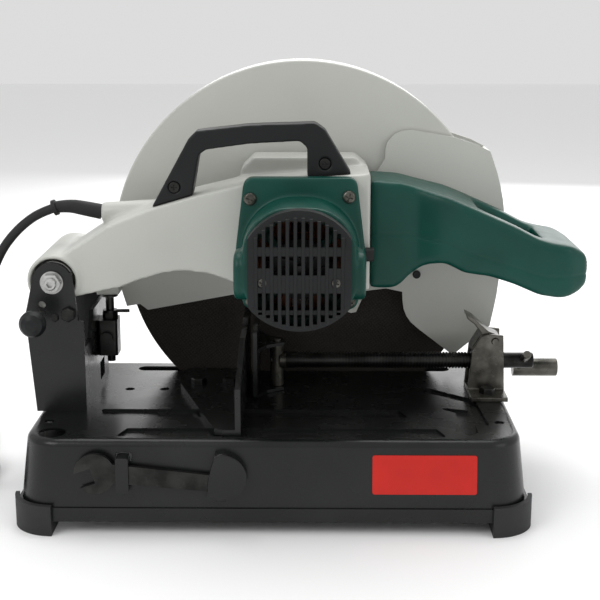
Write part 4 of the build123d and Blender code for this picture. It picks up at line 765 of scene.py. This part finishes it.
def cap_ribs(face):
    """The upright ribs that run the whole height of the end cap, between its slots."""
    bm = bmesh.new()
    for n in range(-RIBS_PER_SIDE, RIBS_PER_SIDE):
        x = (n + 0.5) * RIB_PITCH
        half = sqrt(RIB_REACH**2 - x * x)
        rib = bmesh.ops.create_cube(bm, size=1)["verts"]
        bmesh.ops.scale(bm, vec=(RIB_PITCH * 0.42, RIB_DEPTH, 2 * half), verts=rib)
        bmesh.ops.translate(bm, vec=(MOTOR.x + x, face, MOTOR.z), verts=rib)
    fronts = [e for e in bm.edges if all(v.co.y < face for v in e.verts)]
    bmesh.ops.bevel(
        bm, geom=fronts, offset=0.0004, segments=2, profile=0.5, affect="EDGES", material=-1
    )
    return bm


class SAW_OT_fittings(bpy.types.Operator):
    """Adds the cross-head screws, the cap's ribs, the pocket's lip and the cord's relief"""

    bl_idname = "saw.fittings"
    bl_label = "Screws, ribs, lip and relief"

    def execute(self, context):
        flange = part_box("motor_housing")[1].y - FLANGE_BACK
        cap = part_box("motor_end_cap")[0].y
        rows = [(place, flange + 0.0004, 0.0058, 0.0036) for place in MOTOR_SCREWS]
        rows += [(place, cap + 0.0022, 0.0041, 0.0026) for place in CAP_SCREWS]
        for n, ((x, z), y, radius, height) in enumerate(rows):
            place = (MOTOR.x + x, MOTOR.z + z, y, radius, height)
            screw = new_piece(f"cross_screw_{n}", screw_head(*place), "gunmetal", "arm")
            for turn in CROSS_TURNS:
                combine(screw, cutter("cross_recess", cross_recess(turn, *place)), "DIFFERENCE")
            if not screw.data.polygons:
                raise RuntimeError(f"{screw.name} has no faces")
            smooth_by_angle(screw.data, 35)
            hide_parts("motor_screws")
        new_piece("cap_ribs", cap_ribs(cap), "dark_plastic", "arm")
        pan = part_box("base_pan")
        middle = (pan[0].x + pan[1].x) / 2
        line = [(middle + x * MM, pan[0].y + LIP_STAND_OFF, z * MM) for x, z in POCKET_LIP]
        bead("pocket_lip", line, LIP_RADIUS, "black_coat", "base", closed=True)
        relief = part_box("cord_relief")
        end = Vector(CORD_ROUTE[0])
        root = Vector((relief[1].x, end.y, PIVOT.z + RELIEF_ROOT_Z))
        way = (end - Vector(CORD_ROUTE[1])).normalized()
        neck = end + way * RELIEF_RING_LENGTH
        line = [root, root + Vector((-0.016, 0, 0.0032)), neck + Vector((0.012, 0, 0.0014)), neck]
        sleeve = bead("relief_sleeve", line, 1.0, "rubber", "arm", radii=RELIEF_RADII)
        ring = bead("relief_ring", [end, neck], RELIEF_RING_RADIUS, "rubber", "arm")
        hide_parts("cord_relief")
        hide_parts("cord_relief")
        return {"FINISHED"}


# ---- stage ----------------------------------------------------------------------------
FLOOR_COLOUR = (0.93, 0.93, 0.93, 1)
FLOOR_SIZE = 6
WORLD_STRENGTH = 0.72
SOFTBOXES = (
    ("key", (-1.1, -1.2, 1.3), 0.9, 9),
    ("fill", (1.4, -1.0, 0.8), 0.9, 3),
    ("top", (0.0, 0.5, 1.7), 1.4, 15),
    ("rear", (0.3, 1.8, 0.9), 1.6, 12),
)
SOFTBOX_AIM = Vector((0, 0, 0.2))
CAMERA_PLACE = (0.00445, -1.1918, 0.4545)
CAMERA_TURN = (radians(90 - 13.036), 0, radians(0.6269))
CAMERA_LENS = 78
CAMERA_SENSOR = 36


def softbox(context, name, place, size, power):
    """A square area light that faces the saw."""
    light = bpy.data.lights.new(name, "AREA")
    light.size = size
    light.energy = power
    lamp = bpy.data.objects.new(name, light)
    lamp.location = place
    lamp.rotation_euler = (SOFTBOX_AIM - lamp.location).to_track_quat("-Z", "Y").to_euler()
    context.scene.collection.objects.link(lamp)


class SAW_OT_stage(bpy.types.Operator):
    """Sets a pale flat floor, the soft lights and the camera"""

    bl_idname = "saw.stage"
    bl_label = "Stage"

    def execute(self, context):
        floor_material = bpy.data.materials.new("studio_floor")
        floor_material.use_nodes = True
        shader = floor_material.node_tree.nodes["Principled BSDF"]
        shader.inputs["Base Color"].default_value = FLOOR_COLOUR
        shader.inputs["Roughness"].default_value = 0.8
        bm = bmesh.new()
        bmesh.ops.create_grid(bm, x_segments=1, y_segments=1, size=FLOOR_SIZE)
        mesh = bpy.data.meshes.new("studio_floor")
        bm.to_mesh(mesh)
        bm.free()
        floor = bpy.data.objects.new("studio_floor", mesh)
        floor.data.materials.append(floor_material)
        context.scene.collection.objects.link(floor)
        world = bpy.data.worlds.new("studio")
        world.use_nodes = True
        world.node_tree.nodes["Background"].inputs["Color"].default_value = (1, 1, 1, 1)
        world.node_tree.nodes["Background"].inputs["Strength"].default_value = WORLD_STRENGTH
        context.scene.world = world
        context.scene.view_settings.view_transform = "Standard"
        for row in SOFTBOXES:
            softbox(context, *row)
        camera = bpy.data.cameras.new("camera")
        camera.lens = CAMERA_LENS
        camera.sensor_width = CAMERA_SENSOR
        viewer = bpy.data.objects.new("camera", camera)
        viewer.location = CAMERA_PLACE
        viewer.rotation_euler = CAMERA_TURN
        context.scene.collection.objects.link(viewer)
        context.scene.camera = viewer
        return {"FINISHED"}


# ---- add-on ---------------------------------------------------------------------------
STEPS = ("stage", "dress_nodes", "cord", "rear_handle", "castings", "fittings")


class SAW_PT_panel(bpy.types.Panel):
    """The saw's settings and the steps that build it"""

    bl_label = "Chop Saw"
    bl_idname = "SAW_PT_panel"
    bl_space_type = "VIEW_3D"
    bl_region_type = "UI"
    bl_category = "Chop Saw"

    def draw(self, context):
        for settings in (context.scene.saw_colours, context.scene.saw_sizes):
            for name in settings.bl_rna.properties.keys():
                if name not in ("rna_type", "name"):
                    self.layout.prop(settings, name)
        for step in STEPS:
            self.layout.operator(f"saw.{step}")


CLASSES = (
    SawColours,
    SawSizes,
    SAW_OT_stage,
    SAW_OT_dress_nodes,
    SAW_OT_cord,
    SAW_OT_rear_handle,
    SAW_OT_castings,
    SAW_OT_fittings,
    SAW_PT_panel,
)


def register():
    for item in CLASSES:
        bpy.utils.register_class(item)
    bpy.types.Scene.saw_colours = PointerProperty(type=SawColours)
    bpy.types.Scene.saw_sizes = PointerProperty(type=SawSizes)


def unregister():
    del bpy.types.Scene.saw_sizes
    del bpy.types.Scene.saw_colours
    for item in reversed(CLASSES):
        bpy.utils.unregister_class(item)


def main():
    register()
    for step in STEPS:
        getattr(bpy.ops.saw, step)()


if __name__ == "__main__":
    main()
